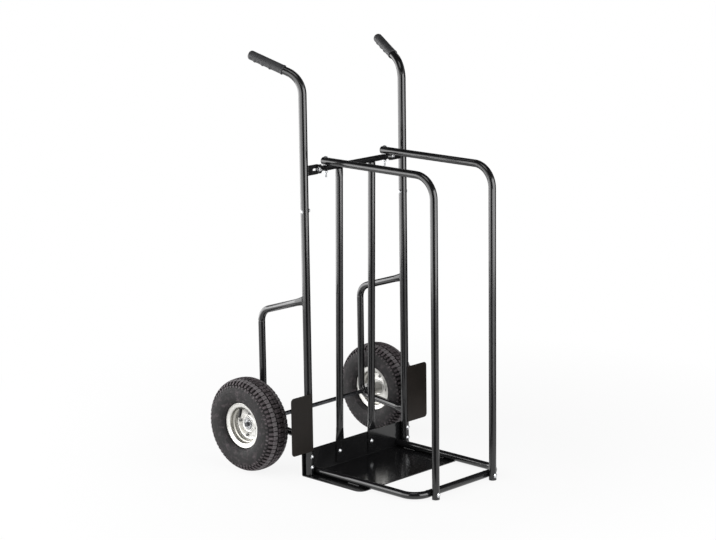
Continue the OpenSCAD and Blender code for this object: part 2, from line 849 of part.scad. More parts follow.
// The tyre's outer curve swells from the lip to the belly and closes over the crown
foot_r = rim_d / 2 + 5;
swell_mid = (wheel_r + foot_r) / 2;
swell_power = 2 / 2.5;
function swell(a, grow) = [
    swell_mid + ((wheel_r - foot_r) / 2 + grow) * sign(sin(a)) * pow(abs(sin(a)), swell_power),
    (tyre_w / 2 + grow) * pow(abs(cos(a)), swell_power)
];
swell_step = 6;
swell_low = 48;
tyre_outer = [for (a = [90 : -swell_step : -swell_low]) swell(a, 0)];
// Inside, the wall follows the same curve and thickens into the beads
tyre_inner = [for (a = [90 : -2 * swell_step : -swell_low + 18]) swell(a, -tyre_wall - (a > 30 ? 5 : 0))];
// The beads lie on the rim with a small clearance
seat_start = 11;
bead_path = shifted([for (i = [seat_start : len(rim_path) - 1]) rim_path[i]], -tyre_fit);

function tyre_side() = concat(
    tyre_outer, reversed(bead_path),
    [[bead_path[0][0], lip_z - bead_w], [rim_d / 2 + 7, lip_z - bead_w - 0.5]]);

module tyre_section() {
    inner = reversed(tyre_inner);
    polygon(concat(
        tyre_side(), inner,
        [for (p = reversed(concat(tyre_side(), inner))) if (p[1] > 0.001) [p[0], -p[1]]]));
}

// The tread has two ribs beside a middle groove and a row of shoulder lugs on each side.
// Every row is cut across into blocks, the ribs half a pitch off the shoulders.
groove_w = 4;
rib_edge = tyre_w * 0.24;
slot_w = 3.2;
// The slots between the shoulder lugs are wider, and their floor falls towards the sidewall
lug_slot_w = 4.6;
lug_slot_fall = 38;

module tread_cuts() {
    ground = wheel_r - tread_d;
    for (z = [-rib_edge, 0, rib_edge])
        translate([0, 0, z - groove_w / 2]) ring(wheel_d + 10, 2 * ground, groove_w);
    for (i = [0 : tread_blocks - 1]) rotate([0, 0, i * 360 / tread_blocks]) {
        for (s = [0, 1]) mirror([0, 0, s]) translate([ground, 0, rib_edge])
            rotate([0, -lug_slot_fall, 0]) translate([0, -lug_slot_w / 2, 0])
                cube([tyre_w / 2, lug_slot_w, tyre_w / 2]);
        rotate([0, 0, 180 / tread_blocks])
            translate([ground + 1, -slot_w / 2, -rib_edge]) cube([tread_d + 5, slot_w, 2 * rib_edge]);
    }
}

module tyre() {
    color("#1b1b1c") on_wheel() difference() {
        rotate_extrude() tyre_section();
        tread_cuts();
    }
}

// Puts a round piece on the valve's line, pointing from the well towards the axle
module on_valve() {
    rotate([0, 0, valve_turn]) translate([well_r + 3, 0, valve_z])
        rotate([0, -90 + valve_lean, 0]) children();
}

// The air tube fills the tyre; its valve stem comes out through the well of the rim
module inner_tube() {
    skin = 2;
    gap = 0.4;
    half = [for (a = [90 : -2 * swell_step : -swell_low + 18])
        swell(a, -tyre_wall - gap - (a > 30 ? 5 : 0))];
    floor_r = rim_d / 2 + 8;
    side = concat(half, [[floor_r, lip_z - bead_w - 1.5]]);
    outline = concat(side, [for (p = reversed(side)) if (p[1] > 0.001) [p[0], -p[1]]]);
    middle = [(floor_r + half[0][0]) / 2, 0];
    color("#101010") on_wheel() union() {
        difference() {
            rotate_extrude() polygon(outline);
            rotate_extrude() polygon([for (p = outline) p - skin * unit(p - middle)]);
        }
        on_valve() translate([0, 0, -15]) cylinder(d = valve_d, h = valve_len + 15);
    }
}

module valve_cap() {
    color("#0e0e0e") on_wheel() on_valve() translate([0, 0, valve_len + 0.02])
        cylinder(d = valve_d - 1.4, h = 5);
}

module rim_half() {
    difference() {
        rotate_extrude() polygon(concat(rim_path, reversed(shifted(rim_path, rim_t))));
        for (i = [0 : rim_bolts - 1]) rotate([0, 0, rim_bolt_turn + i * 360 / rim_bolts])
            translate([bolt_circle_r, 0, -over])
                cylinder(d = rim_bolt_d + hole_clear, h = 4 * rim_t);
    }
}

module rim_outer() {
    color("#c9ccd0") on_wheel() difference() {
        rim_half();
        on_valve() cylinder(d = valve_d + 1, h = 12, center = true);
    }
}

module rim_inner() {
    color("#c9ccd0") on_wheel() mirror([0, 0, 1]) rim_half();
}

module hub() {
    color("#b4b8bc") on_wheel() translate([0, 0, -hub_in]) difference() {
        ring(hub_d, bearing_d - 6, hub_in + hub_out);
        translate([0, 0, -over]) cylinder(d = bearing_d, h = bearing_w + over);
        translate([0, 0, hub_in + hub_out - bearing_w]) cylinder(d = bearing_d, h = bearing_w + over);
    }
}

module bearings() {
    color("#8f9398") on_wheel() for (z = [-hub_in, hub_out - bearing_w])
        translate([0, 0, z]) difference() {
            ring(bearing_d - 0.1, axle_d + 2 * axle_fit, bearing_w);
            for (face = [-over, bearing_w - 0.8])
                translate([0, 0, face]) ring(bearing_d - 6, axle_d + 6, over + 0.8);
        }
}

module on_bolt_circle() {
    on_wheel() for (i = [0 : rim_bolts - 1]) rotate([0, 0, rim_bolt_turn + i * 360 / rim_bolts])
        translate([bolt_circle_r, 0, 0]) children();
}

module rim_bolts_set() {
    color("#c9ccd0") on_bolt_circle() translate([0, 0, -rim_t]) mirror([0, 0, 1])
        carriage_bolt(rim_bolt_d, 2 * rim_t + nut_h(rim_bolt_d) + rim_thread);
}

module rim_nuts_set() {
    color("#c9ccd0") on_bolt_circle() translate([0, 0, rim_t]) hex_nut(rim_bolt_d);
}

// ---- Nodes ----

side(false) upright();  // upright_left
side(true) upright();  // upright_right
side(false) handle();  // handle_left
side(true) handle();  // handle_right
side(false) grip();  // grip_left
side(true) grip();  // grip_right
handle_bolts();
handle_nuts();
side(false) lug();  // lug_left
side(true) lug();  // lug_right
crossbar();
crossbar_bolts();
crossbar_washers();
crossbar_nuts();
side(false) back_rail();  // back_rail_left
side(true) back_rail();  // back_rail_right
rail_bolts();
rail_nuts();
side(false) hoop();  // hoop_left
side(true) hoop();  // hoop_right
hoop_bolts();
hoop_nuts();
hoop_end_plugs();
side(false) foot();  // foot_left
side(true) foot();  // foot_right
base_loop();
front_bolts();
front_nuts();
toe_plate();
toe_bolts();
toe_nuts();
side(false) axle_bracket();  // axle_bracket_left
side(true) axle_bracket();  // axle_bracket_right
side(false) wheel_guard();  // wheel_guard_left
side(true) wheel_guard();  // wheel_guard_right
axle();
axle_spacers();
axle_washers();
cotter_pins();
side(false) tyre();  // tyre_left
side(true) tyre();  // tyre_right
side(false) inner_tube();  // inner_tube_left
side(true) inner_tube();  // inner_tube_right
side(false) rim_outer();  // rim_outer_left
side(true) rim_outer();  // rim_outer_right
side(false) rim_inner();  // rim_inner_left
side(true) rim_inner();  // rim_inner_right
side(false) hub();  // hub_left
side(true) hub();  // hub_right
side(false) bearings();  // bearings_left
side(true) bearings();  // bearings_right
side(false) rim_bolts_set();  // rim_bolts_left
side(true) rim_bolts_set();  // rim_bolts_right
side(false) rim_nuts_set();  // rim_nuts_left
side(true) rim_nuts_set();  // rim_nuts_right
side(false) valve_cap();  // valve_cap_left
side(true) valve_cap();  // valve_cap_right
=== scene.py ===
import json
import math

import bmesh
import bpy
from mathutils import Matrix, Vector


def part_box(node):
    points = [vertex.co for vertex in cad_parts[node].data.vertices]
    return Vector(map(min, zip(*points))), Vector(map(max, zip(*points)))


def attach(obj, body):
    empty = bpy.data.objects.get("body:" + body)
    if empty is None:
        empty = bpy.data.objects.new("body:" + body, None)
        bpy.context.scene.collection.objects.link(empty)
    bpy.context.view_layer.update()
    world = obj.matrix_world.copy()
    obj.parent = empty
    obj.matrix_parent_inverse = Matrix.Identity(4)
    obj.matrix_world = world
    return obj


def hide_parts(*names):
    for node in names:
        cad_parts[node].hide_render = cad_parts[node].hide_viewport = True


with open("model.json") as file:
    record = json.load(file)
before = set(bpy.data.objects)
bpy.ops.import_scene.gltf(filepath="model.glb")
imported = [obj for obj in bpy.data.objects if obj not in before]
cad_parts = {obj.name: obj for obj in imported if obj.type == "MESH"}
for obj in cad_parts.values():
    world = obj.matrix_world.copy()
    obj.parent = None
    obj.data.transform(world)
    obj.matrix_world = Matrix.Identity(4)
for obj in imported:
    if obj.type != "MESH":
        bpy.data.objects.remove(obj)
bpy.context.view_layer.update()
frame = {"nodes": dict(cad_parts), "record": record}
nodes = frame["nodes"]
scene = bpy.context.scene
slotOf = {part["node"]: part["material_slot"] for part in frame["record"]["subparts"]}
print("cart: frame loaded with", len(nodes), "nodes")


# The camera stands to the front left of the cart and looks a little down
cameraPlace = {
    "spot": (-4.38292, -4.23812, 1.89635),
    "turn": 45.6418,      # degrees from +Y towards +X
    "dip": 12.4389,       # degrees below level
    "roll": -0.8193,
    "lens": 115.433,
    "sensor": 36,         # millimetres wide
    "sees": 50,           # metres
}


def placeCamera(look):
    camera = bpy.data.cameras.new("cartCamera")
    camera.lens = look["lens"]
    camera.sensor_width = look["sensor"]
    camera.sensor_fit = "HORIZONTAL"
    camera.clip_end = look["sees"]
    holder = bpy.data.objects.new("cartCamera", camera)
    scene.collection.objects.link(holder)
    turn, dip, roll = (math.radians(look[key]) for key in ("turn", "dip", "roll"))
    ahead = Vector((math.sin(turn) * math.cos(dip), math.cos(turn) * math.cos(dip), -math.sin(dip)))
    side = Vector((math.cos(turn), -math.sin(turn), 0))
    up = side.cross(ahead)
    rolledSide = math.cos(roll) * side + math.sin(roll) * up
    rolledUp = -math.sin(roll) * side + math.cos(roll) * up
    turned = Matrix((rolledSide, rolledUp, -ahead)).transposed().to_4x4()
    holder.matrix_world = Matrix.Translation(look["spot"]) @ turned
    scene.camera = holder


placeCamera(cameraPlace)
print("cart: camera placed")


# Every finish starts from these: a new material, and noise laid on object coordinates
def newFinish(name):
    finish = bpy.data.materials.new(name)
    finish.use_nodes = True
    return finish, finish.node_tree, finish.node_tree.nodes["Principled BSDF"]


def addNode(tree, kind, values=None, **settings):
    node = tree.nodes.new(kind)
    for key, value in settings.items():
        setattr(node, key, value)
    for key, value in (values or {}).items():
        node.inputs[key].default_value = value
    return node


def objectNoise(tree, scale, detail=2.0, rough=0.5):
    spot = addNode(tree, "ShaderNodeTexCoord")
    noise = addNode(tree, "ShaderNodeTexNoise", {"Scale": scale, "Detail": detail, "Roughness": rough})
    tree.links.new(spot.outputs["Object"], noise.inputs["Vector"])
    return noise


# Noise mostly lies in this span, which is spread over a range of values or between two colours
noiseSpan = (0.3, 0.7)


def spread(tree, source, low, high):
    ranged = addNode(tree, "ShaderNodeMapRange", {
        "From Min": noiseSpan[0], "From Max": noiseSpan[1], "To Min": low, "To Max": high})
    tree.links.new(source, ranged.inputs["Value"])
    return ranged.outputs["Result"]


def tint(tree, source, *colours):
    ramp = addNode(tree, "ShaderNodeValToRGB")
    for element, position, colour in zip(ramp.color_ramp.elements, noiseSpan, colours):
        element.position = position
        element.color = (*colour, 1)
    tree.links.new(source, ramp.inputs["Fac"])
    return ramp.outputs["Color"]


def bumpFrom(tree, height, depth, shader, after=None):
    bump = addNode(tree, "ShaderNodeBump", {"Distance": depth, "Strength": 1.0})
    tree.links.new(height, bump.inputs["Height"])
    if after is not None:
        tree.links.new(after.outputs["Normal"], bump.inputs["Normal"])
    tree.links.new(bump.outputs["Normal"], shader.inputs["Normal"])
    return bump


# Powder coat: gloss black with a fine orange peel over a slow waviness
coatLook = {
    "black": (0.0055, 0.0055, 0.006), "dust": (0.009, 0.009, 0.0095), "cloud": 9,
    "gloss": (0.12, 0.18), "sheen": 0.62,
    "peel": 380, "peelDepth": 0.000008, "wave": 55, "waveDepth": 0.00003,
}
# The wheel guards' coat is duller, and its slightly warmer tint is a painted brown reflection
guardLook = {
    **coatLook, "black": (0.007, 0.0055, 0.0045), "dust": (0.0125, 0.0095, 0.0075),
    "gloss": (0.34, 0.42), "sheen": 0.2,
}


def powderCoat(name, look):
    finish, tree, shader = newFinish(name)
    cloud = objectNoise(tree, look["cloud"], 3)
    wave = objectNoise(tree, look["wave"], 1)
    peel = objectNoise(tree, look["peel"], 1)
    colour = tint(tree, cloud.outputs["Fac"], look["black"], look["dust"])
    tree.links.new(colour, shader.inputs["Base Color"])
    tree.links.new(spread(tree, cloud.outputs["Fac"], *look["gloss"]), shader.inputs["Roughness"])
    shader.inputs["Specular IOR Level"].default_value = look["sheen"]
    slow = bumpFrom(tree, wave.outputs["Fac"], look["waveDepth"], shader)
    bumpFrom(tree, peel.outputs["Fac"], look["peelDepth"], shader, after=slow)
    return finish


# Plated and bare steel: zinc on the fasteners, the rims and the hubs, dark blue steel on the axle
plateLooks = {
    "zinc": {"dark": (0.47, 0.48, 0.495), "light": (0.68, 0.69, 0.7), "rough": (0.28, 0.44),
             "grain": 260},
    "dull": {"dark": (0.13, 0.13, 0.133), "light": (0.24, 0.24, 0.238), "rough": (0.35, 0.5),
             "grain": 300},
    # The rim's well colour is painted shade, laid where the "dull" share is 1
    "rim": {"dark": (0.6, 0.59, 0.56), "light": (0.76, 0.755, 0.73), "rough": (0.32, 0.46),
            "grain": 70, "well": (0.42, 0.41, 0.375)},
    "hub": {"dark": (0.52, 0.52, 0.51), "light": (0.68, 0.68, 0.67), "rough": (0.32, 0.46),
            "grain": 160},
    "axle": {"dark": (0.06, 0.062, 0.068), "light": (0.12, 0.124, 0.132), "rough": (0.3, 0.45),
             "grain": 90},
    "bearing": {"dark": (0.42, 0.42, 0.415), "light": (0.6, 0.6, 0.59), "rough": (0.25, 0.4),
                "grain": 200},
}
plateGrit = {"grain": 1600, "depth": 0.000008}    # the same on all of them


def platedSteel(name, look):
    finish, tree, shader = newFinish(name)
    spangle = objectNoise(tree, look["grain"], 3, 0.6)
    fine = objectNoise(tree, plateGrit["grain"], 1)
    colour = tint(tree, spangle.outputs["Fac"], look["dark"], look["light"])
    # A "dull" share mixes in the well colour, which is painted shade
    if "well" in look:
        dull = addNode(tree, "ShaderNodeAttribute", attribute_name="dull")
        mix = addNode(tree, "ShaderNodeMix", data_type="RGBA")    # its colours are inputs 6 and 7
        mix.inputs[7].default_value = (*look["well"], 1)
        tree.links.new(dull.outputs["Fac"], mix.inputs[0])
        tree.links.new(colour, mix.inputs[6])
        colour = mix.outputs[2]
    tree.links.new(colour, shader.inputs["Base Color"])
    tree.links.new(spread(tree, spangle.outputs["Fac"], *look["rough"]), shader.inputs["Roughness"])
    bumpFrom(tree, fine.outputs["Fac"], plateGrit["depth"], shader)
    shader.inputs["Metallic"].default_value = 1.0
    return finish


# Rubber and plastic, mottled and finely pitted
rubberLooks = {
    "tube": {"dark": (0.008, 0.008, 0.008), "light": (0.016, 0.016, 0.016), "rough": (0.4, 0.55),
             "grain": 200, "pit": 1200, "depth": 0.00003},
    "grip": {"dark": (0.024, 0.024, 0.026), "light": (0.042, 0.042, 0.045), "rough": (0.5, 0.66),
             "grain": 60, "pit": 1500, "depth": 0.00006},
    "plug": {"dark": (0.011, 0.011, 0.012), "light": (0.02, 0.02, 0.021), "rough": (0.38, 0.5),
             "grain": 80, "pit": 1600, "depth": 0.00003},
}


def softRubber(name, look):
    finish, tree, shader = newFinish(name)
    cloud = objectNoise(tree, look["grain"], 4, 0.6)
    pits = objectNoise(tree, look["pit"], 2)
    colour = tint(tree, cloud.outputs["Fac"], look["dark"], look["light"])
    tree.links.new(colour, shader.inputs["Base Color"])
    tree.links.new(spread(tree, cloud.outputs["Fac"], *look["rough"]), shader.inputs["Roughness"])
    bumpFrom(tree, pits.outputs["Fac"], look["depth"], shader)
    return finish


# Tyre rubber: the "dust" attribute is 0 in the grooves, wallDust on the walls and 1 on the block tops,
# and its low values are painted shade
tyreLook = {
    "groove": (0.015, 0.0142, 0.0146), "wall": (0.081, 0.0675, 0.0725), "top": (0.125, 0.115, 0.119),
    "wallDust": 0.6, "mottle": 0.5, "rough": (0.55, 0.75), "sheen": 0.25,
    "grain": 60, "pit": 1100, "depth": 0.00009,
}


def tyreRubber(look):
    finish, tree, shader = newFinish("tyreRubber")
    cloud = objectNoise(tree, look["grain"], 6, 0.68)
    pits = objectNoise(tree, look["pit"], 2)
    dust = addNode(tree, "ShaderNodeAttribute", attribute_name="dust")
    mottled = addNode(tree, "ShaderNodeMath", operation="ADD")
    mottle = spread(tree, cloud.outputs["Fac"], -look["mottle"], look["mottle"])
    tree.links.new(dust.outputs["Fac"], mottled.inputs[0])
    tree.links.new(mottle, mottled.inputs[1])
    ramp = addNode(tree, "ShaderNodeValToRGB")
    # The darkest colour is painted shade in the grooves, the pits and by the rim
    ramp.color_ramp.elements[0].color = (*look["groove"], 1)
    ramp.color_ramp.elements[1].color = (*look["top"], 1)
    ramp.color_ramp.elements.new(look["wallDust"]).color = (*look["wall"], 1)
    tree.links.new(mottled.outputs[0], ramp.inputs["Fac"])
    tree.links.new(ramp.outputs["Color"], shader.inputs["Base Color"])
    tree.links.new(spread(tree, cloud.outputs["Fac"], *look["rough"]), shader.inputs["Roughness"])
    shader.inputs["Specular IOR Level"].default_value = look["sheen"]
    bumpFrom(tree, pits.outputs["Fac"], look["depth"], shader)
    return finish


finishes = {
    "black_coat": powderCoat("blackPowderCoat", coatLook),
    "zinc_plate": platedSteel("brightZinc", plateLooks["zinc"]),
    "rim_plate": platedSteel("rimZinc", plateLooks["rim"]),
    "hub_plate": platedSteel("hubZinc", plateLooks["hub"]),
    "axle_steel": platedSteel("blueAxleSteel", plateLooks["axle"]),
    "bearing_steel": platedSteel("bearingSteel", plateLooks["bearing"]),
    "tyre_rubber": tyreRubber(tyreLook),
    "tube_rubber": softRubber("tubeRubber", rubberLooks["tube"]),
    "grip_sleeve": softRubber("gripVinyl", rubberLooks["grip"]),
    "black_plastic": softRubber("plugPlastic", rubberLooks["plug"]),
}
dullZinc = platedSteel("dullZinc", plateLooks["dull"])
dullCoat = powderCoat("dullPowderCoat", guardLook)
for name, node in nodes.items():
    node.data.materials.clear()
    node.data.materials.append(finishes[slotOf[name]])
print("cart: finishes mixed")


# Shapes are drawn in millimetres with the uprights on Y = 0, then put in the cart's own frame
uprightLow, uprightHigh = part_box("upright_left")
millimetres = Matrix.Scale(0.001, 4)
cartFrame = Matrix.Translation((0, (uprightLow.y + uprightHigh.y) / 2, 0)) @ millimetres
mirrored = {"left": Matrix.Identity(4), "right": Matrix.Scale(-1, 4, (1, 0, 0))}


def at(x, y, z, angle=0, axis="X"):
    return Matrix.Translation((x, y, z)) @ Matrix.Rotation(math.radians(angle), 4, axis)


def clamp(value, low=0, high=1):
    return min(high, max(low, value))


def everything(shape):
    return shape.verts[:] + shape.edges[:] + shape.faces[:]


def soften(shape, edges, width, segments=2):
    bmesh.ops.bevel(shape, geom=edges, offset=width, offset_type="OFFSET", segments=segments,
                    profile=0.5, affect="EDGES", material=-1, clamp_overlap=True)


def sharpEdges(shape, angle):
    return [edge for edge in shape.edges if edge.calc_face_angle(0) > math.radians(angle)]


# An outline of [radius, height] turned all the way round Z
def turnedShape(outline, steps, rounding=0, closed=False):
    shape = bmesh.new()
    corners = [shape.verts.new((r, 0, z)) for r, z in outline]
    for first, second in zip(corners, corners[1:]):
        shape.edges.new((first, second))
    if closed:
        shape.edges.new((corners[-1], corners[0]))
    if rounding:
        inner = [corner for corner in corners if len(corner.link_edges) == 2 and corner.co.x > 0.001]
        bmesh.ops.bevel(shape, geom=inner, offset=rounding, offset_type="OFFSET", segments=3,
                        profile=0.5, affect="VERTICES", material=-1, clamp_overlap=True)
    bmesh.ops.spin(shape, geom=shape.verts[:] + shape.edges[:], cent=(0, 0, 0), axis=(0, 0, 1),
                   dvec=(0, 0, 0), angle=2 * math.pi, steps=steps, use_merge=True)
    bmesh.ops.remove_doubles(shape, verts=shape.verts, dist=0.001)
    bmesh.ops.recalc_face_normals(shape, faces=shape.faces)
    return shape


# Copies of a shape that already stands at its first place, evenly spaced round Z
def repeatRound(shape, count):
    bmesh.ops.spin(shape, geom=everything(shape), cent=(0, 0, 0), axis=(0, 0, 1), dvec=(0, 0, 0),
                   angle=2 * math.pi * (count - 1) / count, steps=count - 1, use_duplicate=True)


# A round rod swept through points, with its thickness given at every point
def sweptRod(points, radii, sides=8):
    shape = bmesh.new()
    points = [Vector(point) for point in points]
    bmesh.ops.create_circle(shape, cap_ends=True, segments=sides, radius=radii[0])
    heading = (points[1] - points[0]).normalized()
    turn = Vector((0, 0, 1)).rotation_difference(heading).to_matrix()
    bmesh.ops.rotate(shape, cent=(0, 0, 0), matrix=turn, verts=shape.verts)
    bmesh.ops.translate(shape, vec=points[0], verts=shape.verts)
    cap = shape.faces[:][0]
    for step in range(1, len(points)):
        grown = bmesh.ops.extrude_face_region(shape, geom=[cap])["geom"]
        ring = [item for item in grown if isinstance(item, bmesh.types.BMVert)]
        cap = next(item for item in grown if isinstance(item, bmesh.types.BMFace))
        bmesh.ops.translate(shape, vec=points[step] - points[step - 1], verts=ring)
        ahead = (points[min(step + 1, len(points) - 1)] - points[step - 1]).normalized()
        turn = heading.rotation_difference(ahead).to_matrix()
        bmesh.ops.rotate(shape, cent=points[step], matrix=turn, verts=ring)
        ratio = radii[step] / radii[step - 1]
        bmesh.ops.scale(shape, vec=(ratio,) * 3, space=Matrix.Translation(-points[step]), verts=ring)
        heading = ahead
    bmesh.ops.recalc_face_normals(shape, faces=shape.faces)
    return shape


def place(shape, matrix):
    bmesh.ops.transform(shape, matrix=matrix, verts=shape.verts)
    if matrix.determinant() < 0:
        bmesh.ops.reverse_faces(shape, faces=shape.faces)
    return shape


# Puts copies of shapes into one: pairs of a shape and the list of places where it stands
def gather(*pairs):
    whole = bmesh.new()
    for shape, places in pairs:
        for matrix in places:
            copy = place(shape.copy(), matrix)
            mesh = bpy.data.meshes.new("part")
            copy.to_mesh(mesh)
            whole.from_mesh(mesh)
            bpy.data.meshes.remove(mesh)
            copy.free()
        shape.free()
    return whole


def makeObject(name, shape):
    mesh = bpy.data.meshes.new(name)
    shape.to_mesh(mesh)
    shape.free()
    made = bpy.data.objects.new(name, mesh)
    scene.collection.objects.link(made)
    return made


def finishPiece(name, shape, slot, body, stands=(), sharp=38, finish=None):
    piece = makeObject(name, shape)
    piece.data.shade_smooth()
    piece.data.set_sharp_from_angle(angle=math.radians(sharp))
    piece.data.materials.append(finish or finishes[slot])
    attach(piece, body)
    if stands:
        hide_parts(*stands)


def camelName(node):
    first, *rest = node.split("_")
    return first + "".join(word.capitalize() for word in rest)


# Frame pieces whose shape is right: this many millimetres are taken off their sharp edges
brokenEdges = {
    "upright_left": 0.5, "upright_right": 0.5, "handle_left": 0.5, "handle_right": 0.5,
    "lug_left": 0.5, "lug_right": 0.5, "crossbar": 0.4, "back_rail_left": 0.4, "back_rail_right": 0.4,
    "hoop_left": 0.3, "hoop_right": 0.3, "hoop_end_plugs": 0.4, "foot_left": 1.2, "foot_right": 1.2,
    "base_loop": 0.3, "toe_plate": 0.7, "axle_bracket_left": 0.3, "axle_bracket_right": 0.3,
    "wheel_guard_left": 0.6, "wheel_guard_right": 0.6, "axle": 0.8, "axle_spacers": 0.4,
    "axle_washers": 0.3, "crossbar_washers": 0.3,
}
softening = {"flat": 0.7, "sharp": 50, "smooth": 18}    # degrees between neighbouring faces


def softCopy(node, width):
    shape = bmesh.new()
    shape.from_mesh(nodes[node].data)
    bmesh.ops.scale(shape, vec=(1000, 1000, 1000), verts=shape.verts)
    bmesh.ops.remove_doubles(shape, verts=shape.verts, dist=0.001)
    bmesh.ops.dissolve_limit(shape, angle_limit=math.radians(softening["flat"]),
                             verts=shape.verts, edges=shape.edges)
    soften(shape, sharpEdges(shape, softening["sharp"]), width)
    return place(shape, millimetres)


for name, width in brokenEdges.items():
    finish = dullCoat if name.startswith("wheel_guard") else None
    finishPiece(camelName(name), softCopy(name, width), slotOf[name], "frame", [name],
                softening["smooth"], finish)
print("cart: frame pieces softened")


# Carriage bolts with rolled threads, and chamfered hexagon nuts
fastener = {
    "frameBolt": 6, "rimBolt": 4.5,
    # shares of the bolt's diameter
    "headWide": 2.1, "headTall": 0.55, "nutWide": 1.67, "nutTall": 0.8, "root": 0.41, "pitch": 1 / 6,
    "chamfer": 0.09, "faceRim": 0.1, "faceSink": 0.03,
    # millimetres, and the thread's ridge as a share of its pitch
    "headEdge": 0.4, "ease": 0.3, "tip": 0.5, "ridge": 0.7, "sunk": 0.05,
    "domeRings": 7, "around": 28, "threadAround": 12, "toeStep": 30,
}


def carriageBolt(thick, length, threaded):
    wide, tall = fastener["headWide"] * thick / 2, fastener["headTall"] * thick
    root, pitch = fastener["root"] * thick, fastener["pitch"] * thick
    ease, tip, rings = fastener["ease"], fastener["tip"], fastener["domeRings"]
    ball = (wide * wide + tall * tall) / (2 * tall)
    lean = math.asin(wide / ball)
    dome = [(ball * math.sin(lean * i / rings), tall - ball + ball * math.cos(lean * i / rings))
            for i in range(rings)]
    shank = [(wide, fastener["headEdge"]), (wide - ease, 0), (thick / 2, 0),
             (thick / 2, threaded - length), (root, threaded - length - ease),
             (root, tip - length), (root - tip, -length), (0, -length)]
    body = turnedShape(dome + shank, fastener["around"])
    ridge = bmesh.new()
    low, foot, share = tip - length, root - fastener["sunk"], fastener["ridge"]
    corners = ((foot, 0, low), (thick / 2, 0, low + share / 2 * pitch), (foot, 0, low + share * pitch))
    ridge.faces.new([ridge.verts.new(corner) for corner in corners])
    turns = (threaded - (ease + tip)) / pitch - share
    steps = round(turns * fastener["threadAround"])
    bmesh.ops.spin(ridge, geom=everything(ridge), cent=(0, 0, 0), axis=(0, 0, 1),
                   dvec=(0, 0, turns * pitch / steps), angle=2 * math.pi * turns, steps=steps)
    bmesh.ops.recalc_face_normals(ridge, faces=ridge.faces)
    return gather((body, [Matrix()]), (ridge, [Matrix()]))


def nutFaces(shape):
    return [face for face in shape.faces if abs(face.normal.z) > 0.9]


def hexNut(thick):
    wide, tall = fastener["nutWide"] * thick / math.sqrt(3), fastener["nutTall"] * thick
    sink = fastener["faceSink"] * thick
    shape = bmesh.new()
    bmesh.ops.create_cone(shape, cap_ends=True, segments=6, radius1=wide, radius2=wide, depth=tall)
    bmesh.ops.rotate(shape, cent=(0, 0, 0), matrix=Matrix.Rotation(math.radians(30), 3, "Z"),
                     verts=shape.verts)
    bmesh.ops.translate(shape, vec=(0, 0, tall / 2), verts=shape.verts)
    rims = {edge for face in nutFaces(shape) for edge in face.edges}
    soften(shape, list(rims), fastener["chamfer"] * thick, 1)
    bmesh.ops.inset_individual(shape, faces=nutFaces(shape), depth=sink,
                               thickness=fastener["faceRim"] * thick)
    soften(shape, sharpEdges(shape, 55), sink, 1)
    return shape


# Each set: nut or bolt, where its left one stands, then for a bolt its length and threaded length
fastenerSets = {
    "handle_bolts": ("bolt", at(-202, 0, 735, -90, "Y"), 29.8, 9),
    "handle_nuts": ("nut", at(-180, 0, 735, 90, "Y")),
    "crossbar_bolts": ("bolt", at(-142, -0.4, 842.7, -90), 15.6, 9.5),
    "crossbar_nuts": ("nut", at(-142, -8.2, 842.7, 90)),
    "rail_bolts": ("bolt", at(-63, 8.1, 40, 90), 13.5, 9),
    "rail_nuts": ("nut", at(-63, 13.8, 40, -90)),
    "hoop_bolts": ("bolt", at(-114, -5, 871), 54.8, 24),
    "hoop_nuts": ("nut", at(-114, -5, 829.9)),
    "front_bolts": ("bolt", at(-114, -405, 12.8, 90), 48.1, 9),
    "front_nuts": ("nut", at(-114, -364.7, 12.8, -90)),
    "toe_bolts": ("bolt", at(-191, -11, 25, 90), 32.6, 9),
    "toe_nuts": ("nut", at(-191, 13.8, 25, -90)),
}
for name, (kind, spot, *lengths) in fastenerSets.items():
    thick = fastener["frameBolt"]
    shape = hexNut(thick) if kind == "nut" else carriageBolt(thick, *lengths)
    leftSpots = [spot, at(0, 0, fastener["toeStep"]) @ spot] if name.startswith("toe_") else [spot]
    spots = [cartFrame @ side @ left for side in mirrored.values() for left in leftSpots]
    finishPiece(camelName(name), gather((shape, spots)), "zinc_plate", "frame", [name], 30)
print("cart: fasteners threaded")


# Weld beads under the coat, on the left side: each fades in and out over its first few steps
weld = {
    "radius": 1.5, "ripple": 0.13, "pitch": 1.9, "step": 0.55, "endSize": 0.35, "fade": 0.3,
    "brackets": ((492, -17.5), (104.8, 6)),    # height on the upright, and the tube's slope in degrees
    "oval": {"middle": -194, "wide": 6.2, "tall": 12.3, "upright": 191, "reach": 11.3, "lift": 0.3,
             "steps": 120},
    "lines": (    # two by the lug, two by the guard and three along the base loop
        ((-179.7, 0.5, 830), (-179.7, 0.5, 855.4)), ((-179.7, -4.2, 830), (-179.7, -4.2, 855.4)),
        ((-197, -10.6, 86), (-197, -10.6, 116)), ((-197, -10.6, 190), (-197, -10.6, 220)),
        ((-163.2, -20, 3.6), (-163.2, -62, 3.6)), ((-163.2, -130, 3.6), (-163.2, -172, 3.6)),
        ((-174.8, -130, 3.6), (-174.8, -172, 3.6)),
    ),
}


def weldBead(points):
    run, radii = 0, []
    for i, point in enumerate(points):
        run += (Vector(point) - Vector(points[i - 1])).length if i else 0
        size = min(1, weld["endSize"] + min(i, len(points) - 1 - i) * weld["fade"])
        ripple = 1 + weld["ripple"] * math.cos(2 * math.pi * run / weld["pitch"])
        radii.append(size * weld["radius"] * ripple)
    return sweptRod(points, radii)


def straightWeld(start, end):
    start, end = Vector(start), Vector(end)
    count = max(4, round((end - start).length / weld["step"]))
    return weldBead([start.lerp(end, i / count) for i in range(count + 1)])


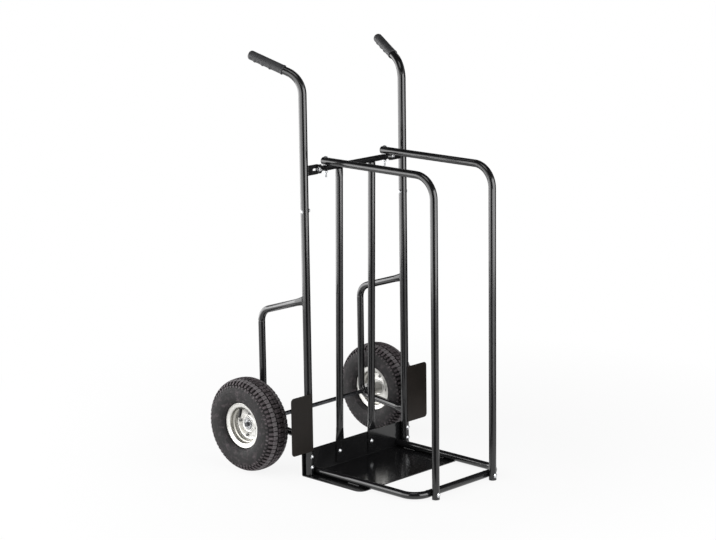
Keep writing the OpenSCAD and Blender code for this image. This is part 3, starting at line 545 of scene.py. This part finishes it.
# Round the oval where a bracket's pressed end meets the back of its upright
def bracketWeld(height, slope):
    oval, rise = weld["oval"], math.tan(math.radians(slope))
    points = []
    for i in range(oval["steps"] + 1):
        turn = 2 * math.pi * i / oval["steps"]
        across = oval["middle"] + oval["wide"] * math.cos(turn)
        behind = math.sqrt(oval["reach"] ** 2 - (across + oval["upright"]) ** 2)
        up = height + rise * behind + oval["tall"] * math.sin(turn)
        points.append((across, behind + oval["lift"], up))
    return weldBead(points)


beads = [bracketWeld(*end) for end in weld["brackets"]]
beads += [straightWeld(*line) for line in weld["lines"]]
bothSides = [cartFrame @ side for side in mirrored.values()]
finishPiece("weldBeads", gather(*((bead, bothSides) for bead in beads)), "black_coat", "frame")
print("cart: welds laid")


# Grips: vinyl sleeves with a collar, a dimpled barrel and three finger ridges underneath
grip = {
    "bore": 11.1, "barrel": 12.7, "collar": 13.5, "length": 108, "cap": 5, "nose": 8, "start": 6.5,
    "ridges": (38, 61, 85), "ridgeTall": 1.8, "ridgeWide": 3.0, "ridgesFrom": 5,
    "around": 56, "dimpleStep": 1.45, "dimpleRim": 0.2, "dimpleDeep": 0.09,
}
handle = {"upright": 191, "seam": 758, "straight": 289.39, "bend": 62, "turn": 69, "reach": 117.39,
          "splay": 20.5}


def gripPlace(path, sleeve):
    return (at(-path["upright"], 0, path["seam"], 90 + path["splay"], "Z")
            @ Matrix.Translation((path["bend"], 0, path["straight"]))
            @ Matrix.Rotation(math.radians(path["turn"]), 4, "Y")
            @ Matrix.Translation((-path["bend"], 0, path["reach"] + sleeve["cap"] - sleeve["length"])))


def gripSleeve(look):
    bore, wide, collarWide, start = look["bore"], look["barrel"], look["collar"], look["start"]
    top, floor = look["length"], look["length"] - look["cap"]
    noseStart = top - look["nose"]
    steps = round((noseStart - start) / look["dimpleStep"])
    nose = [(wide - look["nose"] * (1 - math.cos(math.radians(a))),
             noseStart + look["nose"] * math.sin(math.radians(a))) for a in range(0, 91, 15)]
    barrel = [(wide, start + (noseStart - start) * i / steps) for i in range(steps)]
    collar = [(bore, 0), (collarWide - 0.5, 0), (collarWide, 0.5), (collarWide, 3.2),
              (collarWide - 0.4, 4), (wide + 0.1, 4.6)]
    outline = [(0, floor), (bore, floor)] + collar + barrel + nose + [(2.5, top), (0, top)]
    shape = turnedShape(outline, look["around"])
    for vert in shape.verts:
        radius = math.hypot(vert.co.x, vert.co.y)
        if radius > bore + 0.5 and vert.co.z > look["ridgesFrom"]:
            below = max(0, vert.co.x / radius) ** 0.8
            rise = sum(math.exp(-((vert.co.z - z) / look["ridgeWide"]) ** 2) for z in look["ridges"])
            vert.co.xy *= 1 + look["ridgeTall"] * below * rise / radius
    dimples = []    # every second face, like a chequerboard
    for face in shape.faces:
        middle = face.calc_center_median()
        row = round((middle.z - start) / look["dimpleStep"] - 0.5)
        column = round(math.atan2(middle.y, middle.x) / (2 * math.pi / look["around"]) - 0.5)
        onBarrel = middle.xy.length > bore + 1 and start + 0.5 < middle.z < noseStart - 1
        if onBarrel and (row + column) % 2 == 0:
            dimples.append(face)
    bmesh.ops.inset_individual(shape, faces=dimples, thickness=look["dimpleRim"],
                               depth=-look["dimpleDeep"])
    return shape


for name, side in mirrored.items():
    sleeve = place(gripSleeve(grip), cartFrame @ side @ gripPlace(handle, grip))
    finishPiece("grip" + name.capitalize(), sleeve, "grip_sleeve", "frame", ["grip_" + name], 50)
print("cart: grips dimpled")


# Split pins at the axle's ends: a tail's points lie this far out and down from the end of its leg
splitPin = {
    "x": 263.4, "axleHeight": 130, "axleBack": 166, "wire": 0.72, "leg": 8.2, "eye": 3.6,
    "tail": ((6.5, 4.6), (4.6, 3.6), (2.4, 2.3), (0.6, 0.9)),
}


def bentPin(look):
    apart = look["wire"] * 1.02
    low, top, eyeWide = -look["leg"], look["leg"], look["eye"]
    eye = [(0, eyeWide * math.sin(math.radians(a)), top + eyeWide * (1.15 - math.cos(math.radians(a))))
           for a in range(20, 341, 20)]
    tail = [(0, apart + out, low - down) for out, down in look["tail"]]
    away = tail + [(0, apart, low), (0, apart, 0), (0, apart, top - 1)]
    back = [(0, -apart, top - 1), (0, -apart, 0), (0, -apart, low)]
    shortTail = [(0, -y * 0.9, z) for _, y, z in reversed(tail)]
    path = away + eye + back + shortTail
    return sweptRod(path, [look["wire"]] * len(path), 10)


pinSpots = [cartFrame @ side @ at(-splitPin["x"], splitPin["axleBack"], splitPin["axleHeight"])
            for side in mirrored.values()]
pins = gather((bentPin(splitPin), pinSpots))
finishPiece("splitPins", pins, "zinc_plate", "frame", ["cotter_pins"], 60)
print("cart: split pins bent")


# Wheels are drawn round Z, with Z pointing outboard and X up
wheel = {"out": 258, "back": 166, "radius": 130}


def wheelPlace(side):
    outward = -1 if side == "left" else 1
    turned = Matrix(((0, 0, outward, 0), (0, 1, 0, 0), (1, 0, 0, 0), (0, 0, 0, 1)))
    middle = (outward * wheel["out"], wheel["back"], wheel["radius"])
    return cartFrame @ Matrix.Translation(middle) @ turned


# The tyre's casing. Angles are on its outer curve: 90 at the crown, 0 at the widest point, and
# -48 at the rim. Round lines are [radius, height, width], and pits are [radius, direction].
tyre = {
    "radius": 130, "half": 42, "foot": 55.8, "power": 0.8, "deep": 4.5, "steps": 180,
    "wall": 6, "crownWall": 5, "crownFrom": 30, "cutFades": 14, "curveStep": 1.5, "curveEnd": -48,
    "bead": ((64.0, 29), (63.9, 27), (63.4, 25.2), (62, 23.9), (60, 23.3), (54.3, 22.9), (52, 21.2),
             (51.1, 19), (51.1, 16.2), (57.8, 15.2)),
    "lines": ((72, 0.55, 0.9), (97, 0.4, 0.8)),
    "pits": ((86, 118), (90, 202), (84, 262), (88, 318), (92, 28), (80, 75)), "pitWide": 1.9,
    "pitAbove": 30,
    "wallEnds": (119.5, 3), "rimShade": (63, 14, 0.05),    # painted shade: radius, width of the fade, least share
    "whiskers": 18, "whiskerSpots": ((70, 3), (28, 8)), "whiskerSize": (0.45, 0.25, 2.6),
    "whiskerRoot": 94, "whiskerDust": 0.5,
}
tyreMiddle, tyreReach = (tyre["radius"] + tyre["foot"]) / 2, (tyre["radius"] - tyre["foot"]) / 2


# The casing's outer curve, moved outward by grow
def swell(angle, grow=0):
    s, c = math.sin(math.radians(angle)), math.cos(math.radians(angle))
    return (tyreMiddle + (tyreReach + grow) * math.copysign(abs(s) ** tyre["power"], s),
            (tyre["half"] + grow) * abs(c) ** tyre["power"])


# A curve inside it, which lies deeper under the tread
def insideCurve(angles, wall):
    return [swell(angle, -wall - (tyre["crownWall"] if angle > tyre["crownFrom"] else 0))
            for angle in angles]


def crownRadius(z):
    c = (abs(z) / tyre["half"]) ** (1 / tyre["power"])
    return tyreMiddle + tyreReach * (1 - c * c) ** (tyre["power"] / 2)


def tyreCarcass():
    outer = []
    for i in range(round((90 - tyre["curveEnd"]) / tyre["curveStep"]) + 1):
        angle = 90 - i * tyre["curveStep"]
        r, _ = swell(angle)
        cut = tyre["deep"] * clamp((angle - tyre["crownFrom"]) / tyre["cutFades"])
        line = sum(tall * math.exp(-((r - mid) / wide) ** 2) for mid, tall, wide in tyre["lines"])
        outer.append(swell(angle, line - cut))
    side = outer + list(tyre["bead"]) + insideCurve(range(-30, 91, 8), tyre["wall"])
    outline = side + [(r, -z) for r, z in reversed(side) if z > 0.01]
    shape = turnedShape(outline, tyre["steps"], closed=True)
    for r, where in tyre["pits"]:
        spot = Vector((r * math.cos(math.radians(where)), r * math.sin(math.radians(where))))
        for face in shape.faces:
            middle = face.calc_center_median()
            near = (middle.xy - spot).length < tyre["pitWide"]
            if near and middle.z > tyre["pitAbove"] and face.normal.z > 0:
                face.tag = True
    marked = [face for face in shape.faces if face.tag]
    bmesh.ops.inset_region(shape, faces=marked, thickness=0.5, depth=-1.1, use_boundary=True)
    # Painted shade: the sidewall's tone darkens towards the tread's floor, towards the rim and in the
    # pits
    dust = shape.verts.layers.float.new("dust")
    (wallEnd, wallFade), (rimEnd, rimFade, least) = tyre["wallEnds"], tyre["rimShade"]
    for vert in shape.verts:
        r = vert.co.xy.length
        wallShare = clamp((wallEnd - r) / wallFade)
        rimShadeShare = clamp((r - rimEnd) / rimFade, least)
        vert[dust] = tyreLook["wallDust"] * wallShare * rimShadeShare
    for face in marked:
        for vert in face.verts:
            vert[dust] = 0
    return shape


# The tread's rows on each side of the middle. Arcs are in degrees round the wheel, and bright is
# the dust on a row's tops, below which the tone darkens as painted shade. The rib's span is in
# millimetres from the middle of the tread.
tread = {
    "blocks": 60, "edge": 0.5, "dustDeep": 2.2,
    "rib": {"span": (0.9, 10.2), "arc": 4.6, "bright": 0.5},
    "lugs": {"angles": (75, 68, 62, 56), "arc": 5.1, "bright": 1.0},
    "teeth": {"angles": (56, 50, 44, 38, 33.5), "arc": 3.1, "bright": 0.45},
    "bars": {"angles": (31, 26, 20), "arc": 2.4, "bright": 0.5},
}


# One block, with its outline in the plane of the axle, is swept along the tread and then repeated
def treadRow(outline, row, start):
    shape = bmesh.new()
    shape.faces.new([shape.verts.new((r, 0, z)) for r, z in outline])
    place(shape, Matrix.Rotation(math.radians(start - row["arc"] / 2), 4, "Z"))
    bmesh.ops.spin(shape, geom=everything(shape), cent=(0, 0, 0), axis=(0, 0, 1), dvec=(0, 0, 0),
                   angle=math.radians(row["arc"]), steps=2)
    bmesh.ops.recalc_face_normals(shape, faces=shape.faces)
    soften(shape, sharpEdges(shape, 55), tread["edge"], 1)
    # Painted shade: the tone falls from a row's top to nothing at dustDeep below it
    dust = shape.verts.layers.float.new("dust")
    for vert in shape.verts:
        low = crownRadius(min(tyre["half"] - 0.1, abs(vert.co.z))) - vert.co.xy.length
        vert[dust] = max(0, 1 - low / tread["dustDeep"]) * row["bright"]
    repeatRound(shape, tread["blocks"])
    return shape


def treadRows():
    ground = tyre["radius"] - tyre["deep"] - 1
    halfPitch = 180 / tread["blocks"]
    low, high = tread["rib"]["span"]
    rows = []
    for side in (1, -1):
        zs = [low + (high - low) * i / 3 for i in range(4)]
        outline = [(crownRadius(z), side * z) for z in zs]
        outline += [(ground, side * high), (ground, side * low)]
        rows.append(treadRow(outline, tread["rib"], halfPitch))
        for row in (tread["lugs"], tread["teeth"]):
            angles = row["angles"]
            top = [swell(angle, 0.1) for angle in angles]
            under = [swell(angle, -tyre["deep"] - 1.2) for angle in (angles[-1] + 2.5, angles[0] - 1)]
            rows.append(treadRow([(r, side * z) for r, z in top + under], row, 0))
        angles = tread["bars"]["angles"]
        top = [swell(angle, 0.15) for angle in angles]
        under = [swell(angles[-1], -0.8), swell(angles[0], -1.6)]
        rows.append(treadRow([(r, side * z) for r, z in top + under], tread["bars"], halfPitch))
    return rows


# The short rubber hairs that a mould leaves
def tyreWhiskers():
    rows = []
    foot, tip, tall = tyre["whiskerSize"]
    for side in (1, -1):
        for angle, turn in tyre["whiskerSpots"]:
            r, z = swell(angle)
            ahead = Vector((r, 0, side * z)) - Vector((tyre["whiskerRoot"], 0, 0))
            lean = Vector((0, 0, 1)).rotation_difference(ahead.normalized()).to_matrix().to_4x4()
            whisker = bmesh.new()
            bmesh.ops.create_cone(whisker, cap_ends=True, segments=6,
                                  radius1=foot, radius2=tip, depth=tall)
            place(whisker, Matrix.Rotation(math.radians(turn), 4, "Z")
                  @ Matrix.Translation((r, 0, side * z)) @ lean)
            dust = whisker.verts.layers.float.new("dust")
            for vert in whisker.verts:
                vert[dust] = tyre["whiskerDust"]
            repeatRound(whisker, tyre["whiskers"])
            rows.append(whisker)
    return rows


# Rim: a pressed half follows the path on the tyre's side, and its well is painted a darker grey as
# painted shade
rim = {
    "thick": 1.8, "steps": 128, "rounding": 0.9,
    "path": ((18.3, 0), (20, 0), (21.2, 1.2), (23, 1.2), (24.2, 0), (40, 0), (42.4, 0.9), (43.6, 3.2),
             (45, 9), (46.2, 11), (49.2, 12.6), (50.8, 14.4), (50.8, 19.2), (51.8, 21.6), (54.2, 23.2),
             (60.1, 23.6), (61.9, 24.2), (63.1, 25.4), (63.5, 26.8)),
    "well": (42, 51.8), "wellFades": (1.5, 1.2),
    "bolts": 4, "boltCircle": 32, "boltTurn": -10, "boltLength": 8.7, "boltThread": 5.6,
}


# The path is turned with its disc facing inboard, then thickened towards the axle line
def rimHalf(look):
    shape = turnedShape(look["path"], look["steps"], look["rounding"])
    disc = next(face for face in shape.faces if 30 < face.calc_center_median().xy.length < 38)
    if disc.normal.z > 0:
        bmesh.ops.reverse_faces(shape, faces=shape.faces)
    bmesh.ops.solidify(shape, geom=shape.faces[:], thickness=look["thick"])
    soften(shape, sharpEdges(shape, 60), 0.5)
    # The share is 1 in the well and marks its painted shade
    (low, high), (fadeIn, fadeOut) = look["well"], look["wellFades"]
    dull = shape.verts.layers.float.new("dull")
    for vert in shape.verts:
        r = vert.co.xy.length
        vert[dull] = clamp((r - low) / fadeIn) * clamp((high - r) / fadeOut)
    return shape


def boltSpots(z, flip=False):
    turned = Matrix.Rotation(math.pi, 4, "X") if flip else Matrix()
    return [Matrix.Rotation(math.radians(rim["boltTurn"] + i * 360 / rim["bolts"]), 4, "Z")
            @ Matrix.Translation((rim["boltCircle"], 0, z)) @ turned for i in range(rim["bolts"])]


# Hub tube with its two bearings: outer and inner are its faces, measured from the wheel's middle
hub = {
    "radius": 18, "bearing": 16, "core": 13, "axle": 6.05, "outer": 3, "inner": -48,
    "bearingWide": 10, "seal": (8.8, 14.4), "sealDeep": 0.9, "around": 64,
    "weldAt": 2.2, "weldLift": 0.2, "weldSteps": 220,
}


def hubShell(look):
    wall, r, seat = look["radius"], look["bearing"], look["bearingWide"]
    outer, inner, core = look["outer"], look["inner"], look["core"]
    outline = [(r, outer), (wall - 0.5, outer), (wall, outer - 0.5), (wall, inner + 0.5),
               (wall - 0.5, inner), (r, inner), (r, inner + seat), (core, inner + seat),
               (core, outer - seat), (r, outer - seat)]
    pairs = [(turnedShape(outline, look["around"], closed=True), [Matrix()])]
    for z in (look["weldAt"], -look["weldAt"]):
        turns = [2 * math.pi * i / look["weldSteps"] for i in range(look["weldSteps"] + 1)]
        ring = [(wall + look["weldLift"]) * Vector((math.cos(a), math.sin(a), 0)) + Vector((0, 0, z))
                for a in turns]
        pairs.append((weldBead([tuple(point) for point in ring]), [Matrix()]))
    return gather(*pairs)


# Inner and outer race with a step between them, for a seal to lie in
def bearingRings(look):
    bore, edge, high, deep = look["axle"], look["bearing"], look["bearingWide"], look["sealDeep"]
    inner, outer = look["seal"]
    half = [(bore, 0.3), (bore + 0.3, 0), (inner, 0), (inner, deep), (outer, deep), (outer, 0),
            (edge - 0.5, 0), (edge - 0.1, 0.4)]
    outline = half + [(r, high - z) for r, z in reversed(half)]
    return turnedShape(outline, look["around"], closed=True)


def bearingSeal(look):
    inner, outer = look["seal"]
    middle = (inner + outer) / 2
    outline = [(inner + 0.05, 0), (inner + 0.05, 0.6), (middle - 1.2, 0.75), (middle, 0.55),
               (middle + 0.8, 0.75), (outer - 1.1, 0.6), (outer - 1.1, 0)]
    return turnedShape(outline, look["around"], closed=True)


# Air tube and valve: the rubber stem has a flared foot, a plain barrel and a ribbed neck
valve = {
    "turn": 27, "well": 48, "z": 9, "lean": 33, "stem": 4.5, "length": 23, "cap": 3.8, "capLength": 5.6,
    "neckRings": 9, "neckStep": 0.9, "tubeWall": 6.5, "tubeFoot": (60, 13.5),
}


def valvePlace(look):
    return (Matrix.Rotation(math.radians(look["turn"]), 4, "Z")
            @ Matrix.Translation((look["well"], 0, look["z"]))
            @ Matrix.Rotation(math.radians(look["lean"] - 90), 4, "Y"))


def airTube(look):
    half = insideCurve(range(90, -31, -10), look["tubeWall"]) + [look["tubeFoot"]]
    ring = half + [(r, -z) for r, z in reversed(half) if z > 0.01]
    stem, tip = look["stem"], look["length"]
    barrel = [(0, -9), (stem + 0.8, -9), (stem + 0.8, 1.2), (stem + 0.5, 2.6), (stem, 4), (stem, 13)]
    neck = [(stem - 0.4 * (i % 2), 13.5 + i * look["neckStep"]) for i in range(look["neckRings"])]
    end = [(stem - 0.6, tip - 0.6), (stem - 1.2, tip), (0, tip)]
    return gather((turnedShape(ring, 96, closed=True), [Matrix()]),
                  (turnedShape(barrel + neck + end, 32), [valvePlace(look)]))


def directionOf(face):
    middle = face.calc_center_median()
    return math.atan2(middle.y, middle.x)


def valveCap(look):
    wide, tall = look["cap"], look["capLength"]
    shape = turnedShape([(0, 0), (wide, 0), (wide, tall - 1), (wide - 0.9, tall), (0, tall)], 36)
    sides = sorted((face for face in shape.faces if abs(face.normal.z) < 0.2), key=directionOf)
    bmesh.ops.inset_individual(shape, faces=sides[::2], thickness=0.08, depth=-0.25)
    return place(shape, valvePlace(look) @ Matrix.Translation((0, 0, look["length"] + 0.02)))


def wheelPiece(side, name, slot, pairs, node=None, sharp=38, finish=None):
    stands = [node + "_" + side] if node else ()
    finishPiece(name + side.capitalize(), gather(*pairs), slot, "wheel_" + side, stands, sharp, finish)


flipped = Matrix.Scale(-1, 4, (0, 0, 1))
faceDown = Matrix.Rotation(math.pi, 4, "X")
for side in mirrored:
    spot = wheelPlace(side)
    rubber = [(shape, [spot]) for shape in [tyreCarcass()] + treadRows() + tyreWhiskers()]
    wheelPiece(side, "tyre", "tyre_rubber", rubber, "tyre", 42)
    wheelPiece(side, "rimOuter", "rim_plate", [(rimHalf(rim), [spot])], "rim_outer", 45)
    wheelPiece(side, "rimInner", "rim_plate", [(rimHalf(rim), [spot @ flipped])], "rim_inner", 45)
    wheelPiece(side, "hub", "hub_plate", [(hubShell(hub), [spot])], "hub")
    ringSpots = [spot @ at(0, 0, z) for z in (hub["inner"], hub["outer"] - hub["bearingWide"])]
    wheelPiece(side, "bearings", "bearing_steel", [(bearingRings(hub), ringSpots)], "bearings")
    sealSpots = [spot @ at(0, 0, hub["outer"] - hub["sealDeep"]),
                 spot @ at(0, 0, hub["inner"] + hub["sealDeep"]) @ faceDown]
    wheelPiece(side, "bearingSeals", "bearing_steel", [(bearingSeal(hub), sealSpots)])
    bolt = carriageBolt(fastener["rimBolt"], rim["boltLength"], rim["boltThread"])
    heads = [spot @ turned for turned in boltSpots(-rim["thick"], True)]
    wheelPiece(side, "rimBolts", "zinc_plate", [(bolt, heads)], "rim_bolts", 30, dullZinc)
    nut = hexNut(fastener["rimBolt"])
    ends = [spot @ turned for turned in boltSpots(rim["thick"])]
    wheelPiece(side, "rimNuts", "zinc_plate", [(nut, ends)], "rim_nuts", 30, dullZinc)
    wheelPiece(side, "airTube", "tube_rubber", [(airTube(valve), [spot])], "inner_tube")
    wheelPiece(side, "valveCap", "tube_rubber", [(valveCap(valve), [spot])], "valve_cap")
print("cart: wheels built")


# The floor is white to the camera and in reflections, and keeps the shadow near the cart, where
# near is the share of white and reach is how far the shadow's patch goes, in metres
studio = {"floorSize": 16, "floorTint": 0.8, "ambient": 0.3, "near": 0.88, "reach": 1.5, "fade": 0.6}


# 1 for the named kinds of ray and 0 for all others
def rayShare(tree, *kinds):
    path = addNode(tree, "ShaderNodeLightPath")
    share = path.outputs[kinds[0]]
    for kind in kinds[1:]:
        larger = addNode(tree, "ShaderNodeMath", operation="MAXIMUM")
        tree.links.new(share, larger.inputs[0])
        tree.links.new(path.outputs[kind], larger.inputs[1])
        share = larger.outputs[0]
    return share


def layFloor(look):
    sheet = bmesh.new()
    bmesh.ops.create_grid(sheet, x_segments=1, y_segments=1, size=look["floorSize"] / 2)
    floor = makeObject("studioFloor", sheet)
    finish, tree, shader = newFinish("paleFloor")
    shader.inputs["Base Color"].default_value = (*[look["floorTint"]] * 3, 1)
    shader.inputs["Roughness"].default_value = 0.9
    glow = addNode(tree, "ShaderNodeEmission", {"Color": (1, 1, 1, 1), "Strength": 1.0})
    spot = addNode(tree, "ShaderNodeTexCoord")
    shrink = addNode(tree, "ShaderNodeMapping", {"Scale": (1 / look["reach"],) * 3})
    ball = addNode(tree, "ShaderNodeTexGradient", gradient_type="SPHERICAL")
    white = addNode(tree, "ShaderNodeMapRange", {
        "From Min": 0.0, "From Max": look["fade"], "To Min": 1.0, "To Max": look["near"]})
    both = addNode(tree, "ShaderNodeMath", operation="MULTIPLY")
    mix = addNode(tree, "ShaderNodeMixShader")
    tree.links.new(spot.outputs["Object"], shrink.inputs["Vector"])
    tree.links.new(shrink.outputs["Vector"], ball.inputs["Vector"])
    tree.links.new(ball.outputs["Fac"], white.inputs["Value"])
    tree.links.new(rayShare(tree, "Is Camera Ray", "Is Glossy Ray"), both.inputs[0])
    tree.links.new(white.outputs["Result"], both.inputs[1])
    tree.links.new(both.outputs[0], mix.inputs["Fac"])
    tree.links.new(shader.outputs["BSDF"], mix.inputs[1])
    tree.links.new(glow.outputs["Emission"], mix.inputs[2])
    tree.links.new(mix.outputs["Shader"], tree.nodes["Material Output"].inputs["Surface"])
    floor.data.materials.append(finish)


def surround(strength):
    world = bpy.data.worlds.new("paleStudio")
    scene.world = world
    world.use_nodes = True
    tree = world.node_tree
    back = tree.nodes["Background"]
    back.inputs["Color"].default_value = (1, 1, 1, 1)
    back.inputs["Strength"].default_value = strength
    white = addNode(tree, "ShaderNodeBackground", {"Color": (1, 1, 1, 1), "Strength": 1.0})
    mix = addNode(tree, "ShaderNodeMixShader")
    shown = rayShare(tree, "Is Camera Ray", "Is Glossy Ray", "Is Transmission Ray")
    tree.links.new(shown, mix.inputs["Fac"])
    tree.links.new(back.outputs["Background"], mix.inputs[1])
    tree.links.new(white.outputs["Background"], mix.inputs[2])
    tree.links.new(mix.outputs["Shader"], tree.nodes["World Output"].inputs["Surface"])


# Each lamp is a soft panel: where it stands, what it faces, its width and height, its watts
lamps = {
    "leftPanel": {"spot": (-1.98, 0.28, 0.75), "aim": (0, 0, 0.6), "size": (1.8, 1.4), "watts": 20},
    "rearPanel": {"spot": (-0.94, 1.77, 0.75), "aim": (0, 0, 0.6), "size": (2.3, 1.4), "watts": 38},
    "frontPanel": {"spot": (0.28, -2.0, 0.9), "aim": (0, 0, 0.7), "size": (2.2, 1.5), "watts": 40},
    "topPanel": {"spot": (-0.5, -0.4, 2.3), "aim": (0, 0, 0.3), "size": (0.9, 0.9), "watts": 5},
}


def hangLamps(plan):
    for name, lamp in plan.items():
        light = bpy.data.lights.new(name, "AREA")
        light.shape = "RECTANGLE"
        light.size, light.size_y = lamp["size"]
        light.energy = lamp["watts"]
        holder = bpy.data.objects.new(name, light)
        holder.visible_camera = False
        scene.collection.objects.link(holder)
        holder.location = lamp["spot"]
        toward = Vector(lamp["aim"]) - Vector(lamp["spot"])
        holder.rotation_euler = toward.to_track_quat("-Z", "Y").to_euler()


# Dark curtains between the panels, each with a dark strip of floor before it, and a dark ceiling.
# All of them show only in reflections. front and behind are directions in degrees, the rest metres.
curtains = {
    "front": (-163, -113), "behind": (-52, 72), "near": 0.5, "away": 1.5, "tall": 1.5, "lift": 0.002,
    "ceiling": 2.4, "ceilingWide": 3.0, "tint": 0.02, "steps": 16,
}


def hangCurtain(name, profile, low, high):
    sheet = bmesh.new()
    spots = [sheet.verts.new((away, 0, up)) for away, up in profile]
    for first, second in zip(spots, spots[1:]):
        sheet.edges.new((first, second))
    place(sheet, Matrix.Rotation(math.radians(low), 4, "Z"))
    bmesh.ops.spin(sheet, geom=everything(sheet), cent=(0, 0, 0), axis=(0, 0, 1), dvec=(0, 0, 0),
                   angle=math.radians(high - low), steps=curtains["steps"])
    curtain = makeObject(name, sheet)
    for ray in ("camera", "diffuse", "transmission", "volume_scatter", "shadow"):
        setattr(curtain, "visible_" + ray, False)
    finish, _, shader = newFinish(name + "Cloth")
    shader.inputs["Base Color"].default_value = (*[curtains["tint"]] * 3, 1)
    shader.inputs["Roughness"].default_value = 1.0
    curtain.data.materials.append(finish)


near, away, lift, tall = (curtains[key] for key in ("near", "away", "lift", "tall"))
for name in ("front", "behind"):
    hangCurtain(name + "Curtain", ((near, lift), (away, lift), (away, tall)), *curtains[name])
overhead = curtains["ceiling"]
hangCurtain("ceilingCurtain", ((0.01, overhead), (curtains["ceilingWide"], overhead)), 0, 360)
layFloor(studio)
surround(studio["ambient"])
hangLamps(lamps)
scene.view_settings.view_transform = "Standard"
print("cart: floor laid and lamps hung")
